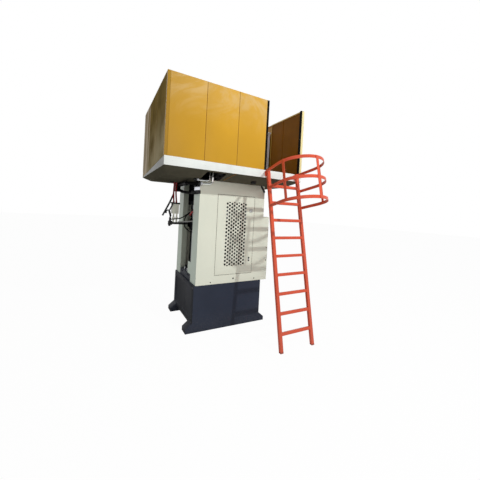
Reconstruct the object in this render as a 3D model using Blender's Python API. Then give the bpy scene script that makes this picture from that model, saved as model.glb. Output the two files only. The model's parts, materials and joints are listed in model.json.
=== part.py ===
"""Hydraulic press with four columns inside two sheet metal uprights, a maintenance
platform with a yellow guard enclosure on top, and an inclined ladder with a safety cage.

Metres, +Z up. The pieces are laid out in the press frame: X runs across the press from its
centre plane towards the ladder side, Y runs from the front face of the uprights to the rear,
and Z is the height above the floor. One empty then puts the middle of the whole outline at
the world origin. "Near" is the ladder side (+X), "far" is the other side (-X).
"""

import math

import bmesh
import bpy
from mathutils import Matrix, Vector

# Clearances that are used everywhere
GAP = 0.0003             # between two pieces that touch
OVERRUN = 0.02           # how far a cutter passes the face that it cuts
SHEET = 0.003            # folded sheet metal
ROUND_SIDES = 32
HEX_SIDES = 6

# Uprights and their covers
BODY_WIDTH = 1.032       # over the side panels
UPRIGHT_DEPTH = 1.115    # front to rear face of the uprights
REAR_BOX_DEPTH = 0.112   # how far the low rear box stands behind the uprights
REAR_BOX_BELOW_TOP = 0.4987
UPRIGHT_WIDTH = 0.250    # front strip of the near upright
FAR_UPRIGHT_WIDTH = 0.239
INNER_FLANGE = 0.087     # the strips turn in by this much beside the opening
OUTER_FLANGE_SHARE = 0.7
PANEL_PROUD = 0.004      # side panels stand this much proud of the base
SIDE_WINDOW_FRAME = 0.05
LEDGE_WIDTH = 0.140      # low guard plate beside the near upright
LEDGE_HEIGHT = 0.180
LEDGE_ABOVE_TABLE = 0.0097

# Base
BASE_TOP = 0.680
BASE_PROUD_FRONT = 0.020
BASE_PROUD_REAR = 0.005
BASE_PLATE = 0.025
BASE_DECK = 0.040
BASE_LIFT = 0.095        # lower edge of the front and rear plates above the floor
SKID_WIDTH = 0.165
SKID_HEIGHT = 0.100
FOOT_REACH = 0.095
FOOT_SLOPE_TOP = 0.138
FOOT_TOE_HEIGHT = 0.060
FRONT_BORDER = 0.085     # border round the recessed front plate
FRONT_RECESS = 0.008

# Bolster, columns, crown and slide
BOLSTER_HEIGHT = 0.100
BOLSTER_SIDE_CLEAR = 0.046
BOLSTER_FRONT = 0.110
BOLSTER_REAR_CLEAR = 0.105
TONGUE_SIDE_CLEAR = 0.006
SLOT_WIDTH = 0.022
SLOT_HEAD_WIDTH = 0.038
SLOT_NECK = 0.022
SLOT_HEAD = 0.018
SLOT_PITCH = 0.130
SLOT_COUNT = 3
COLUMN_RADIUS = 0.045
COLUMN_THREAD_RADIUS = 0.036
COLUMN_HEAD_RADIUS = 0.068
COLUMN_HEAD_HEIGHT = 0.055
COLUMN_INSET = 0.080     # column axis from the side of the crown
COLUMN_FROM_CROWN_EDGE = 0.105
COLUMN_ABOVE_CROWN = 0.130
RUNNING_CLEAR = 0.0005
NUT_RADIUS = 0.066
NUT_HEIGHT = 0.060
CROWN_SIDE_CLEAR = 0.051
CROWN_FRONT = 0.120
CROWN_REAR_CLEAR = 0.115
CROWN_TOP_CLEAR = 0.014
CROWN_HEIGHT = 0.340
CROWN_POCKET_DEPTH = 0.060
CROWN_FLANGE = 0.060
CYLINDER_RADIUS = 0.160
CYLINDER_BORE = 0.115
CYLINDER_ABOVE_CROWN = 0.700
CYLINDER_HEAD = 0.080
CYLINDER_FLANGE_RADIUS = 0.205
CYLINDER_FLANGE = 0.060
CYLINDER_PORT_RADIUS = 0.045
CYLINDER_PORT_HEIGHT = 0.060
SLIDE_BELOW_CROWN = 0.440
SLIDE_HEIGHT = 0.140
SLIDE_COLUMN_OFFSET = 0.135
SLIDE_FRONT = 0.135
SLIDE_REAR_CLEAR = 0.130
SLIDE_EAR_HALF = 0.075
SLIDE_BUSH_RADIUS = 0.064
SLIDE_BUSH_HEIGHT = 0.045
RAM_FLANGE_RADIUS = 0.170
RAM_FLANGE = 0.045
RAM_ABOVE_CROWN = 0.200
EJECTOR_RADIUS = 0.070
EJECTOR_BORE = 0.042
EJECTOR_LENGTH = 0.330
EJECTOR_PISTON_HEIGHT = 0.050
EJECTOR_ROD_RADIUS = 0.030
EJECTOR_FLANGE_RADIUS = 0.100
EJECTOR_FLANGE = 0.030
EJECTOR_HEAD_SUNK = 0.002

# Side door with its vent
DOOR_FRONT = 0.292
DOOR_REAR_CLEAR = 0.186
DOOR_ABOVE_BASE = 0.134
DOOR_BELOW_SOFFIT = 0.194
DOOR_SEAM = 0.0025
DOOR_DEPTH = 0.018
DOOR_SHEET = 0.002
VENT_FRONT_BORDER = 0.141
VENT_REAR_BORDER = 0.137
VENT_LOWER_BORDER = 0.126
VENT_UPPER_BORDER = 0.100
VENT_PITCH = 0.060       # hole columns from front to rear
VENT_ROW_PITCH = 0.0545  # hole rows from the bottom up
VENT_HOLE_SHARE = 0.37
VENT_SHEET = 0.0015
PIVOT_INSET = 0.0075
PIVOT_FROM_EDGE = 0.010
PIVOT_RADIUS = 0.003
PIVOT_HOLE_CLEAR = 0.0004
PIVOT_PLATE = 0.004
PIVOT_PLATE_SPAN = 0.035
PIVOT_PIN_LENGTH = 0.006
LOCK_FROM_EDGE = 0.058
LOCK_FROM_TOP = 0.220
LOCK_FROM_BOTTOM = 0.216
LOCK_HEAD_RADIUS = 0.014
LOCK_HEAD_PROUD = 0.003
LOCK_SHAFT_RADIUS = 0.009
LOCK_CAM_LENGTH = 0.075
LOCK_CAM_WIDTH = 0.016
LOCK_CAM = 0.003
LOCK_CAM_CLEAR = 0.001
LOCK_SLOT_WIDTH = 0.003
LOCK_SLOT_DEPTH = 0.0015

# Platform
DECK_NEAR_REACH = 0.393  # how far the platform stands out over the uprights
DECK_FAR_REACH = 0.313
DECK_FRONT = 0.604
DECK_REAR_REACH = 0.404
FASCIA_TOP = 2.403       # height of the platform
FASCIA_HEIGHT = 0.111
DECK_PLATE = 0.008
SOFFIT_DROP = 0.078
SOFFIT_SLOPE_SIDE = 0.313
SOFFIT_SLOPE_END = 0.075
SOFFIT_CORNER_SHARE = 0.5
CROWN_WINDOW_CLEAR = 0.020
PIPE_WINDOW_FRONT = 0.030
PIPE_WINDOW_REAR = 0.350
PIPE_WINDOW_REACH = 0.340

# Guard enclosure
WALL_HEIGHT = 1.003
WALL_DEPTH = 0.035
WALL_SET_BACK = 0.002
WALL_SEAM = 0.0015
PANEL_WIDTH = 0.467
DOORWAY_FROM_REAR = 0.703
SEAL_WIDTH = 0.034
SEAL_THICK = 0.030
POST_SIZE = 0.036
REAR_POST_SIZE = 0.041
REAR_SEAL = 0.022
REAR_PANEL_WIDTH = 0.443
REAR_END_PANEL_WIDTH = 0.318
FRONT_LAP = 0.003        # the front wall hangs in front of the fascia
FRONT_DROP = 0.101       # and its lower edge falls by this much towards the far side
HANDLE_HOLE_RADIUS = 0.008
HANDLE_HOLE_FROM_SEAM = 0.050
HANDLE_HOLE_FROM_TOP = 0.514

# Power unit on the platform
TANK_WIDTH = 0.830
TANK_LENGTH = 0.478
TANK_HEIGHT = 0.857
TANK_FROM_FAR_EDGE = 0.089
TANK_FROM_REAR_EDGE = 0.041
TANK_RIM = 0.020
TANK_LID = 0.012
TANK_WALL = 0.005
TANK_CAP_RADIUS = 0.045
TANK_CAP_HEIGHT = 0.060
MOTOR_RADIUS = 0.130
MOTOR_LENGTH = 0.380
MOTOR_FROM_FAR_EDGE = 0.269
MOTOR_FRONT_Y = 0.020
MOTOR_FOOT_HEIGHT = 0.160
MOTOR_RIB_COUNT = 7
MOTOR_RIB_DEPTH = 0.012
MOTOR_FOOT_HALF_WIDTH = 0.090
PUMP_RADIUS = 0.075
PUMP_LENGTH = 0.160
COWL_LENGTH = 0.060

# Pipes, hoses and the small arm at the front
PIPE_RADIUS = 0.015
PIPE_OUT = 0.050         # pipes from the near side of the uprights
UPPER_PIPE_DROP_Y = 0.120
LOWER_PIPE_DROP_Y = 0.168
UPPER_PIPE_CLEAR = 0.003 # under the soffit
PIPE_CLEAR = 0.006       # between the two pipes
PIPE_FLANGE_RADIUS = 0.028
PIPE_FLANGE = 0.012
PIPE_BEND = 0.055
UPPER_PIPE_END_Y = -0.080
LOWER_PIPE_END_Y = -0.020
PIPE_FALL = 0.014
HOSE_RADIUS = 0.022
CABLE_RADIUS = 0.009
RED_HOSE_RADIUS = 0.013
ARM_WIDTH = 0.028
ARM_HEIGHT = 0.036
ARM_PAST_BLOCK = 0.050
ARM_REAR = 0.080
ARM_DROP = 0.702         # below the soffit
ARM_FOOT = 0.030
ARM_FOOT_LENGTH = 0.030
BLOCK_WIDTH = 0.100
BLOCK_FRONT = 0.190
BLOCK_DEPTH = 0.104
BLOCK_ABOVE_ARM = 0.142
BLOCK_HEIGHT = 0.150
BLOCK_CAP = 0.020
BLOCK_CAP_LAP = 0.006
BLOCK_STEM_RADIUS = 0.014
BLOCK_UNION_RADIUS = 0.021
BLOCK_UNION_HEIGHT = 0.030

BLOCK_OFFSET = 0.022
SENSOR_FROM_BLOCK = 0.028
SENSOR_STEM = 0.010
SENSOR_RADIUS = 0.018
SENSOR_ABOVE_ARM = 0.012
SENSOR_HEIGHT = 0.070
MANIFOLD_INSET = 0.126
MANIFOLD_Y = -0.095
MANIFOLD_WIDTH = 0.044
MANIFOLD_DEPTH = 0.080
MANIFOLD_HEIGHT = 0.144
PROBE_ROD_RADIUS = 0.008
PROBE_RADIUS = 0.014
PROBE_MIDDLE_OUT = 0.205 # in front of the uprights
PROBE_MIDDLE_DROP = 0.334
PROBE_END_OUT = 0.318
PROBE_END_DROP = 0.566
PROBE_LAP_SHARE = 0.04
DUCT_SIDE_CLEAR = 0.011
DUCT_EDGE_CLEAR = 0.002
DUCT_DROP = 0.162        # below the soffit
DUCT_WALL = 0.002
HOSE_TURN = 0.150
HOSE_TURN_SHARES = [(0.15, 0.62), (0.50, 0.92), (1.00, 1.02)]
UPPER_HOSE_PATH = [(0.200, -0.130, 2.168), (-0.100, -0.100, 2.172)]
UPPER_HOSE_DROP = 0.044
LOWER_HOSE_PATH = [(0.100, -0.040, 2.036), (-0.120, -0.065, 2.058)]
LOWER_HOSE_DROP = 0.110
RED_HOSE_TOPS = (-0.166, -0.136)
RED_HOSE_FEET = (-0.162, -0.124)
RED_HOSE_STAGGER = 0.012
RED_HOSE_BOW = 0.008
CABLE_END_Y = 0.030
SENSOR_CABLE_PATH = [(-0.150, -0.170, 1.606), (-0.050, -0.105, 1.625), (0.090, -0.045, 1.690)]
SENSOR_CABLE_END = 1.790
LOOP_SET_BACK = 0.030
LOOP_TOP = 1.745
LOOP_BOTTOM = 1.425
LOOP_PATH = [(0.120, -0.010, 1.715), (0.020, -0.040, 1.655), (-0.005, -0.050, 1.560), (0.060, -0.040, 1.470),
             (0.160, 0.000, 1.430)]

# Ladder
RUNG_SPACING = 0.250
FIRST_RUNG = 0.227
LADDER_RUN = 0.503       # how far the foot stands out from the top
LADDER_FROM_WALL = 0.033
LADDER_WIDTH = 0.582
RAIL_WIDTH = 0.046
RAIL_DEPTH = 0.038
RUNG_HEIGHT = 0.040
RUNG_DEPTH = 0.028
RUNG_SET_BACK = 0.003
RUNG_BITE = 0.020
HOOP_COUNT = 3
HOOP_SPACING = 0.260
HOOP_FROM_TOP = 0.010
HOOP_BAR = 0.043
HOOP_THICK = 0.006
HOOP_REACH = 0.660
HOOP_BULGE = 0.036       # wider than the ladder by this much on each side
HOOP_FLARE = 0.280
HOOP_STEPS = 9
STRAP_WIDTH = 0.042
STRAP_TURN_SHARE = 0.90  # side straps, as a share of the quarter turn from the middle one
STRAP_THICK = 0.005
STRAP_BITE = 0.001
STRAP_SHORT = 0.002

# Worked out from the sizes above
HALF_WIDTH = BODY_WIDTH / 2
BASE_HALF_WIDTH = HALF_WIDTH - PANEL_PROUD
SHELL_HALF_WIDTH = HALF_WIDTH - SHEET - GAP
DECK_NEAR = HALF_WIDTH + DECK_NEAR_REACH
DECK_FAR = HALF_WIDTH + DECK_FAR_REACH
DECK_REAR = UPRIGHT_DEPTH + DECK_REAR_REACH
FASCIA_BOTTOM = FASCIA_TOP - FASCIA_HEIGHT
SOFFIT_BOTTOM = FASCIA_BOTTOM - SOFFIT_DROP
UPRIGHT_BOTTOM = BASE_TOP + GAP
UPRIGHT_TOP = SOFFIT_BOTTOM - GAP
REAR_BOX_TOP = UPRIGHT_TOP - REAR_BOX_BELOW_TOP
NEAR_OPENING_EDGE = HALF_WIDTH - UPRIGHT_WIDTH
FAR_OPENING_EDGE = FAR_UPRIGHT_WIDTH - HALF_WIDTH
BOLSTER_TOP = BASE_TOP + GAP + BOLSTER_HEIGHT
BOLSTER_HALF_WIDTH = HALF_WIDTH - BOLSTER_SIDE_CLEAR
BOLSTER_REAR = UPRIGHT_DEPTH - BOLSTER_REAR_CLEAR
LEDGE_BOTTOM = BOLSTER_TOP + LEDGE_ABOVE_TABLE
LEDGE_TOP = LEDGE_BOTTOM + LEDGE_HEIGHT
CROWN_HALF_WIDTH = HALF_WIDTH - CROWN_SIDE_CLEAR
CROWN_REAR = UPRIGHT_DEPTH - CROWN_REAR_CLEAR
CROWN_TOP = SOFFIT_BOTTOM - CROWN_TOP_CLEAR
CROWN_BOTTOM = CROWN_TOP - CROWN_HEIGHT
COLUMN_X = CROWN_HALF_WIDTH - COLUMN_INSET
COLUMN_FRONT_Y = CROWN_FRONT + COLUMN_FROM_CROWN_EDGE
COLUMN_REAR_Y = CROWN_REAR - COLUMN_FROM_CROWN_EDGE
COLUMN_END = CROWN_TOP + COLUMN_ABOVE_CROWN
CYLINDER_TOP = CROWN_TOP + CYLINDER_ABOVE_CROWN
SLIDE_BOTTOM = CROWN_BOTTOM - SLIDE_BELOW_CROWN
SLIDE_TOP = SLIDE_BOTTOM + SLIDE_HEIGHT
SLIDE_HALF_WIDTH = COLUMN_X - SLIDE_COLUMN_OFFSET
SLIDE_REAR = UPRIGHT_DEPTH - SLIDE_REAR_CLEAR
PRESS_MIDDLE_Y = (COLUMN_FRONT_Y + COLUMN_REAR_Y) / 2
RAM_RADIUS = CYLINDER_BORE - RUNNING_CLEAR
RAM_TOP = CROWN_TOP + RAM_ABOVE_CROWN
EJECTOR_PISTON_RADIUS = EJECTOR_BORE - RUNNING_CLEAR
DOOR_REAR = UPRIGHT_DEPTH - DOOR_REAR_CLEAR
DOOR_BOTTOM = BASE_TOP + DOOR_ABOVE_BASE
DOOR_TOP = SOFFIT_BOTTOM - DOOR_BELOW_SOFFIT
VENT_FRONT = DOOR_FRONT + VENT_FRONT_BORDER
VENT_REAR = DOOR_REAR - VENT_REAR_BORDER
VENT_BOTTOM = DOOR_BOTTOM + VENT_LOWER_BORDER
VENT_TOP = DOOR_TOP - VENT_UPPER_BORDER
VENT_COLUMNS = math.ceil((VENT_REAR - VENT_FRONT) / VENT_PITCH)
VENT_ROWS = math.ceil((VENT_TOP - VENT_BOTTOM) / VENT_ROW_PITCH)
LOCK_UPPER = DOOR_TOP - LOCK_FROM_TOP
LOCK_LOWER = DOOR_BOTTOM + LOCK_FROM_BOTTOM
WALL_TOP = FASCIA_TOP + WALL_HEIGHT
NEAR_WALL_END = DECK_REAR - DOORWAY_FROM_REAR
HANDLE_HOLE_HEIGHT = WALL_TOP - HANDLE_HOLE_FROM_TOP
TANK_FAR = DECK_FAR - TANK_FROM_FAR_EDGE
TANK_NEAR = TANK_WIDTH - TANK_FAR
TANK_REAR = DECK_REAR - TANK_FROM_REAR_EDGE
TANK_FRONT = TANK_REAR - TANK_LENGTH
TANK_TOP = FASCIA_TOP + TANK_HEIGHT
MOTOR_X = DECK_FAR - MOTOR_FROM_FAR_EDGE
PIPE_X = HALF_WIDTH + PIPE_OUT
UPPER_PIPE_HEIGHT = SOFFIT_BOTTOM - UPPER_PIPE_CLEAR - PIPE_RADIUS
LOWER_PIPE_HEIGHT = UPPER_PIPE_HEIGHT - 2 * PIPE_RADIUS - PIPE_CLEAR
ARM_X = FAR_OPENING_EDGE + ARM_WIDTH / 2 + GAP   # the arm lies against the far upright
ARM_BOTTOM = SOFFIT_BOTTOM - ARM_DROP
ARM_FRONT = BLOCK_FRONT + ARM_PAST_BLOCK
BLOCK_MIDDLE_X = ARM_X - BLOCK_OFFSET
BLOCK_MIDDLE_Y = BLOCK_DEPTH / 2 - BLOCK_FRONT
BLOCK_BOTTOM = ARM_BOTTOM + ARM_HEIGHT + BLOCK_ABOVE_ARM
BLOCK_TOP = BLOCK_BOTTOM + BLOCK_HEIGHT
SENSOR_Y = -BLOCK_FRONT - SENSOR_FROM_BLOCK
SENSOR_BOTTOM = ARM_BOTTOM + ARM_HEIGHT + SENSOR_ABOVE_ARM
SENSOR_TOP = SENSOR_BOTTOM + SENSOR_HEIGHT
MANIFOLD_X = MANIFOLD_INSET - HALF_WIDTH
MANIFOLD_BOTTOM = SOFFIT_BOTTOM - MANIFOLD_HEIGHT
PROBE_MIDDLE = (MANIFOLD_X, -PROBE_MIDDLE_OUT, SOFFIT_BOTTOM - PROBE_MIDDLE_DROP)
PROBE_END = (MANIFOLD_X, -PROBE_END_OUT, SOFFIT_BOTTOM - PROBE_END_DROP)
DUCT_NEAR = HALF_WIDTH - DUCT_SIDE_CLEAR
DUCT_FAR = NEAR_OPENING_EDGE + DUCT_EDGE_CLEAR
DUCT_TOP = SOFFIT_BOTTOM - DUCT_DROP
DUCT_BOTTOM = DUCT_TOP - 2 * HOSE_RADIUS
DUCT_PROUD = 2 * HOSE_RADIUS + DUCT_WALL
UPPER_HOSE_END = SOFFIT_BOTTOM - UPPER_HOSE_DROP
LOWER_HOSE_END = SOFFIT_BOTTOM - LOWER_HOSE_DROP
LADDER_NEAR_EDGE = NEAR_WALL_END + LADDER_FROM_WALL
HOOP_HALF_WIDTH = LADDER_WIDTH / 2 + HOOP_BULGE
WALL_NEAR_FACE = DECK_NEAR - WALL_SET_BACK
WALL_FAR_FACE = WALL_SET_BACK - DECK_FAR
WALL_REAR_FACE = DECK_REAR - WALL_SET_BACK
FRONT_WALL_FACE = -DECK_FRONT - FRONT_LAP
WALL_BOTTOM = FASCIA_TOP + GAP
LADDER_TOP = FASCIA_TOP
LADDER_SLOPE = LADDER_RUN / LADDER_TOP
LADDER_LEAN = math.atan(LADDER_SLOPE)
RAIL_DEPTH_LEVEL = RAIL_DEPTH / math.cos(LADDER_LEAN)
LADDER_TOP_FACE = DECK_NEAR + GAP + RAIL_DEPTH_LEVEL
LADDER_FOOT_FACE = LADDER_TOP_FACE + LADDER_RUN
LADDER_MIDDLE_Y = LADDER_NEAR_EDGE + LADDER_WIDTH / 2
ALONG_LADDER = Vector((-math.sin(LADDER_LEAN), 0, math.cos(LADDER_LEAN)))
OUT_OF_LADDER = Vector((math.cos(LADDER_LEAN), 0, math.sin(LADDER_LEAN)))
LADDER_LENGTH = LADDER_TOP / math.cos(LADDER_LEAN)
RUNG_COUNT = int((LADDER_LENGTH - FIRST_RUNG - RUNG_HEIGHT) / RUNG_SPACING) + 1

# Colours as red, green, blue, then roughness and metallic
FINISHES = {
    "navy_paint": ((0.030, 0.036, 0.055), 0.50, 0.0),
    "cream_paint": ((0.680, 0.690, 0.600), 0.45, 0.0),
    "ochre_paint": ((0.640, 0.330, 0.060), 0.22, 0.0),
    "light_ochre_paint": ((0.700, 0.420, 0.110), 0.30, 0.0),
    "off_white_paint": ((0.740, 0.750, 0.690), 0.45, 0.0),
    "dark_soffit_paint": ((0.050, 0.048, 0.038), 0.60, 0.0),
    "orange_paint": ((0.720, 0.120, 0.055), 0.40, 0.0),
    "grey_paint": ((0.300, 0.300, 0.310), 0.50, 0.0),
    "ground_steel": ((0.560, 0.570, 0.580), 0.30, 1.0),
    "machined_steel": ((0.400, 0.410, 0.420), 0.40, 1.0),
    "black_steel": ((0.015, 0.015, 0.016), 0.50, 0.0),
    "black_rubber": ((0.010, 0.010, 0.010), 0.80, 0.0),
    "red_rubber": ((0.130, 0.020, 0.018), 0.60, 0.0),
    "perforated_steel": ((0.350, 0.360, 0.350), 0.50, 0.0),
}

ORIGIN = None


def clear_scene():
    for obj in list(bpy.data.objects):
        bpy.data.objects.remove(obj, do_unlink=True)


def material(name):
    """One Principled material for one named finish."""
    found = bpy.data.materials.get(name)
    if found:
        return found
    colour, roughness, metallic = FINISHES[name]
    made = bpy.data.materials.new(name)
    made.use_nodes = True
    shader = made.node_tree.nodes["Principled BSDF"]
    shader.inputs["Base Color"].default_value = (*colour, 1)
    shader.inputs["Roughness"].default_value = roughness
    shader.inputs["Metallic"].default_value = metallic
    made.diffuse_color = (*colour, 1)
    return made


def add_object(name, mesh, finish=None):
    obj = bpy.data.objects.new(name, mesh)
    bpy.context.scene.collection.objects.link(obj)
    obj.parent = ORIGIN
    if finish:
        obj.data.materials.append(material(finish))
    return obj


def from_bmesh(name, bm, finish=None, smooth=False):
    """Turn a bmesh into an object with its faces pointing out."""
    bmesh.ops.recalc_face_normals(bm, faces=bm.faces)
    mesh = bpy.data.meshes.new(name)
    bm.to_mesh(mesh)
    bm.free()
    if smooth:
        mesh.shade_smooth()
        mesh.set_sharp_from_angle(angle=math.radians(35))
    return add_object(name, mesh, finish)


def box(name, low, high, finish=None):
    """Block between two opposite corners."""
    bm = bmesh.new()
    bmesh.ops.create_cube(bm, size=1)
    size = Vector(high) - Vector(low)
    middle = (Vector(high) + Vector(low)) / 2
    bmesh.ops.scale(bm, vec=size, verts=bm.verts)
    bmesh.ops.translate(bm, vec=middle, verts=bm.verts)
    return from_bmesh(name, bm, finish)


def prism(name, outline, axis, start, end, finish=None):
    """Extrude a flat outline along X, Y or Z. Its points are the two other coordinates."""
    places = {
        "X": lambda u, v, w: (w, u, v),
        "Y": lambda u, v, w: (u, w, v),
        "Z": lambda u, v, w: (u, v, w),
    }
    place = places[axis]
    bm = bmesh.new()
    first = [bm.verts.new(place(u, v, start)) for u, v in outline]
    face = bm.faces.new(first)
    extruded = bmesh.ops.extrude_face_region(bm, geom=[face])
    moved = [item for item in extruded["geom"] if isinstance(item, bmesh.types.BMVert)]
    shift = Vector(place(0, 0, end)) - Vector(place(0, 0, start))
    bmesh.ops.translate(bm, vec=shift, verts=moved)
    return from_bmesh(name, bm, finish)


def turned(name, profile, centre, finish=None, sides=ROUND_SIDES, axis="Z"):
    """Solid of revolution. The profile lists (radius, distance along the axis) pairs and
    starts and ends on the axis."""
    bm = bmesh.new()
    rings = []
    for radius, along in profile:
        if radius == 0:
            rings.append([bm.verts.new((0, 0, along))])
            continue
        angles = [2 * math.pi * i / sides for i in range(sides)]
        rings.append([bm.verts.new((radius * math.cos(a), radius * math.sin(a), along)) for a in angles])
    for lower, upper in zip(rings, rings[1:]):
        for i in range(sides):
            j = (i + 1) % sides
            corners = [lower[i % len(lower)], lower[j % len(lower)], upper[j % len(upper)], upper[i % len(upper)]]
            unique = list(dict.fromkeys(corners))
            if len(unique) > 2:
                bm.faces.new(unique)
    if axis == "X":
        bmesh.ops.rotate(bm, verts=bm.verts, matrix=Matrix.Rotation(math.pi / 2, 3, "Y"))
    if axis == "Y":
        bmesh.ops.rotate(bm, verts=bm.verts, matrix=Matrix.Rotation(-math.pi / 2, 3, "X"))
    bmesh.ops.translate(bm, vec=Vector(centre), verts=bm.verts)
    return from_bmesh(name, bm, finish, smooth=sides > HEX_SIDES)


def rod(name, radius, start, end, centre, finish=None, sides=ROUND_SIDES, axis="Z"):
    """Plain round bar along one axis, between two distances on that axis."""
    profile = [(0, start), (radius, start), (radius, end), (0, end)]
    return turned(name, profile, centre, finish, sides, axis)


def joined(others):
    """One object out of several, for use in a boolean."""
    first = others[0]
    bm = bmesh.new()
    for other in others:
        bm.from_mesh(other.data)
    for other in others[1:]:
        bpy.data.objects.remove(other, do_unlink=True)
    bm.to_mesh(first.data)
    bm.free()
    return first


def combine(target, operation, others):
    """Boolean the other objects, which must not overlap each other, with the target. They
    become one hidden object that stays out of the build."""
    other = joined(others)
    other.hide_render = True
    other.display_type = "WIRE"
    step = target.modifiers.new(operation.lower(), "BOOLEAN")
    step.operation = operation
    step.solver = "EXACT"
    step.object = other
    return target


def cut(target, *others):
    return combine(target, "DIFFERENCE", others)


def fuse(target, *others):
    return combine(target, "UNION", others)


def tube(name, points, radius, finish, resolution=3):
    """Round tube with closed ends along a smooth curve through the points."""
    curve = bpy.data.curves.new(name, "CURVE")
    curve.dimensions = "3D"
    curve.bevel_depth = radius
    curve.bevel_resolution = resolution
    curve.use_fill_caps = True
    spline = curve.splines.new("POLY")
    route = smooth_route(points, radius)
    spline.points.add(len(route) - 1)
    for point, place in zip(spline.points, route):
        point.co = (*place, 1)
    obj = bpy.data.objects.new(name, curve)
    bpy.context.scene.collection.objects.link(obj)
    obj.parent = ORIGIN
    curve.materials.append(material(finish))
    return obj


def square_ends(points, first, last, radius):
    """Add a point just inside each end, so that the tube meets its two faces squarely. The
    two directions point away from the faces."""
    lead = 3 * radius
    start = Vector(points[0]) + Vector(first) * lead
    end = Vector(points[-1]) + Vector(last) * lead
    return [points[0], start, *points[1:-1], end, points[-1]]


def smooth_route(points, radius):
    """Points every few radii along a Catmull-Rom curve through the given points."""
    given = [Vector(p) for p in points]
    padded = [2 * given[0] - given[1]] + given + [2 * given[-1] - given[-2]]
    route = []
    for before, start, end, after in zip(padded, padded[1:], padded[2:], padded[3:]):
        pieces = max(1, round((end - start).length / (6 * radius)))
        for k in range(pieces):
            t = k / pieces
            route.append(0.5 * (2 * start + (end - before) * t
                                + (2 * before - 5 * start + 4 * end - after) * t ** 2
                                + (3 * start - before - 3 * end + after) * t ** 3))
    route.append(given[-1])
    return route


def bent_route(corners, bend, steps=5):
    """Straight runs between corner points, joined by round bends."""
    route = [Vector(corners[0])]
    for before, corner, after in zip(corners, corners[1:], corners[2:]):
        corner = Vector(corner)
        start = corner + (Vector(before) - corner).normalized() * bend
        end = corner + (Vector(after) - corner).normalized() * bend
        for k in range(steps + 1):
            t = k / steps
            route.append(start * (1 - t) ** 2 + corner * (2 * t * (1 - t)) + end * t ** 2)
    route.append(Vector(corners[-1]))
    return route


def folded_panel(name, corners, place, depth, sheet, finish):
    """Sheet with its four edges folded back, open behind. The corners run round the outer
    face as (along, up) pairs, and place turns (along, up, depth) into a point."""
    mid_u = sum(u for u, v in corners) / len(corners)
    mid_v = sum(v for u, v in corners) / len(corners)
    inset = [(u + math.copysign(sheet, mid_u - u), v + math.copysign(sheet, mid_v - v)) for u, v in corners]
    bm = bmesh.new()
    loops = []
    for outline, at in ((corners, 0), (corners, depth), (inset, depth), (inset, sheet)):
        loops.append([bm.verts.new(place(u, v, at)) for u, v in outline])
    bm.faces.new(loops[0])
    for one, other in zip(loops, loops[1:]):
        for i in range(len(corners)):
            j = (i + 1) % len(corners)
            bm.faces.new([one[i], one[j], other[j], other[i]])
    bm.faces.new(loops[-1])
    return from_bmesh(name, bm, finish)


def upright_outline(edge, side):
    """Plan of one upright's sheet: a U that opens towards the opening, with a flange turned
    in at the front and at the rear. Side is +1 for near and -1 for far."""
    outer = SHELL_HALF_WIDTH * side
    inner = outer - SHEET * side
    lip = edge + SHEET * side
    rear = UPRIGHT_DEPTH
    return [
        (outer, 0), (outer, rear), (edge, rear), (edge, rear - INNER_FLANGE), (lip, rear - INNER_FLANGE),
        (lip, rear - SHEET), (inner, rear - SHEET), (inner, SHEET), (lip, SHEET), (lip, INNER_FLANGE),
        (edge, INNER_FLANGE), (edge, 0),
    ]


def make_upright(name, edge, side):
    """Upright housing with a large window behind its side panel."""
    shell = prism(name, upright_outline(edge, side), "Z", UPRIGHT_BOTTOM, UPRIGHT_TOP, "cream_paint")
    reach = sorted((side * (HALF_WIDTH - UPRIGHT_WIDTH * OUTER_FLANGE_SHARE), side * (HALF_WIDTH + OVERRUN)))
    window = box(
        name + "_window_cutter",
        (reach[0], SIDE_WINDOW_FRAME, UPRIGHT_BOTTOM + SIDE_WINDOW_FRAME),
        (reach[1], UPRIGHT_DEPTH - SIDE_WINDOW_FRAME, UPRIGHT_TOP - SIDE_WINDOW_FRAME),
    )
    return cut(shell, window)


def make_near_upright():
    """The near upright carries the low guard plate that narrows the opening."""
    shell = make_upright("near_upright", NEAR_OPENING_EDGE, 1)
    ledge = box(
        "near_ledge",
        (NEAR_OPENING_EDGE - LEDGE_WIDTH, 0, LEDGE_BOTTOM),
        (NEAR_OPENING_EDGE + SHEET, SHEET, LEDGE_TOP),
    )
    duct = box(
        "hose_duct", (DUCT_FAR, -DUCT_PROUD, DUCT_BOTTOM), (DUCT_NEAR, SHEET / 2, DUCT_TOP),
    )
    return fuse(shell, ledge, duct)


def side_outline(rear_reach):
    """Side panel seen from the side: wide below the rear box's top, narrower above it."""
    return [
        (0, UPRIGHT_BOTTOM), (rear_reach, UPRIGHT_BOTTOM), (rear_reach, REAR_BOX_TOP),
        (UPRIGHT_DEPTH, REAR_BOX_TOP), (UPRIGHT_DEPTH, UPRIGHT_TOP), (0, UPRIGHT_TOP),
    ]


def make_side_panels():
    rear_reach = UPRIGHT_DEPTH + REAR_BOX_DEPTH
    near = prism("near_side_panel", side_outline(rear_reach), "X", HALF_WIDTH - SHEET, HALF_WIDTH, "cream_paint")
    opening = box(
        "door_opening_cutter",
        (HALF_WIDTH - OVERRUN, DOOR_FRONT - DOOR_SEAM, DOOR_BOTTOM - DOOR_SEAM),
        (HALF_WIDTH + OVERRUN, DOOR_REAR + DOOR_SEAM, DOOR_TOP + DOOR_SEAM),
    )
    cut(near, opening)
    pivots = [door_pivot(end, level, side) for end, level, side in (("upper", DOOR_TOP, 1), ("lower", DOOR_BOTTOM, -1))]
    fuse(near, *[plate for plate, _ in pivots])
    fuse(near, *[pin for _, pin in pivots])
    prism("far_side_panel", side_outline(rear_reach), "X", -HALF_WIDTH, SHEET - HALF_WIDTH, "cream_paint")


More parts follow.
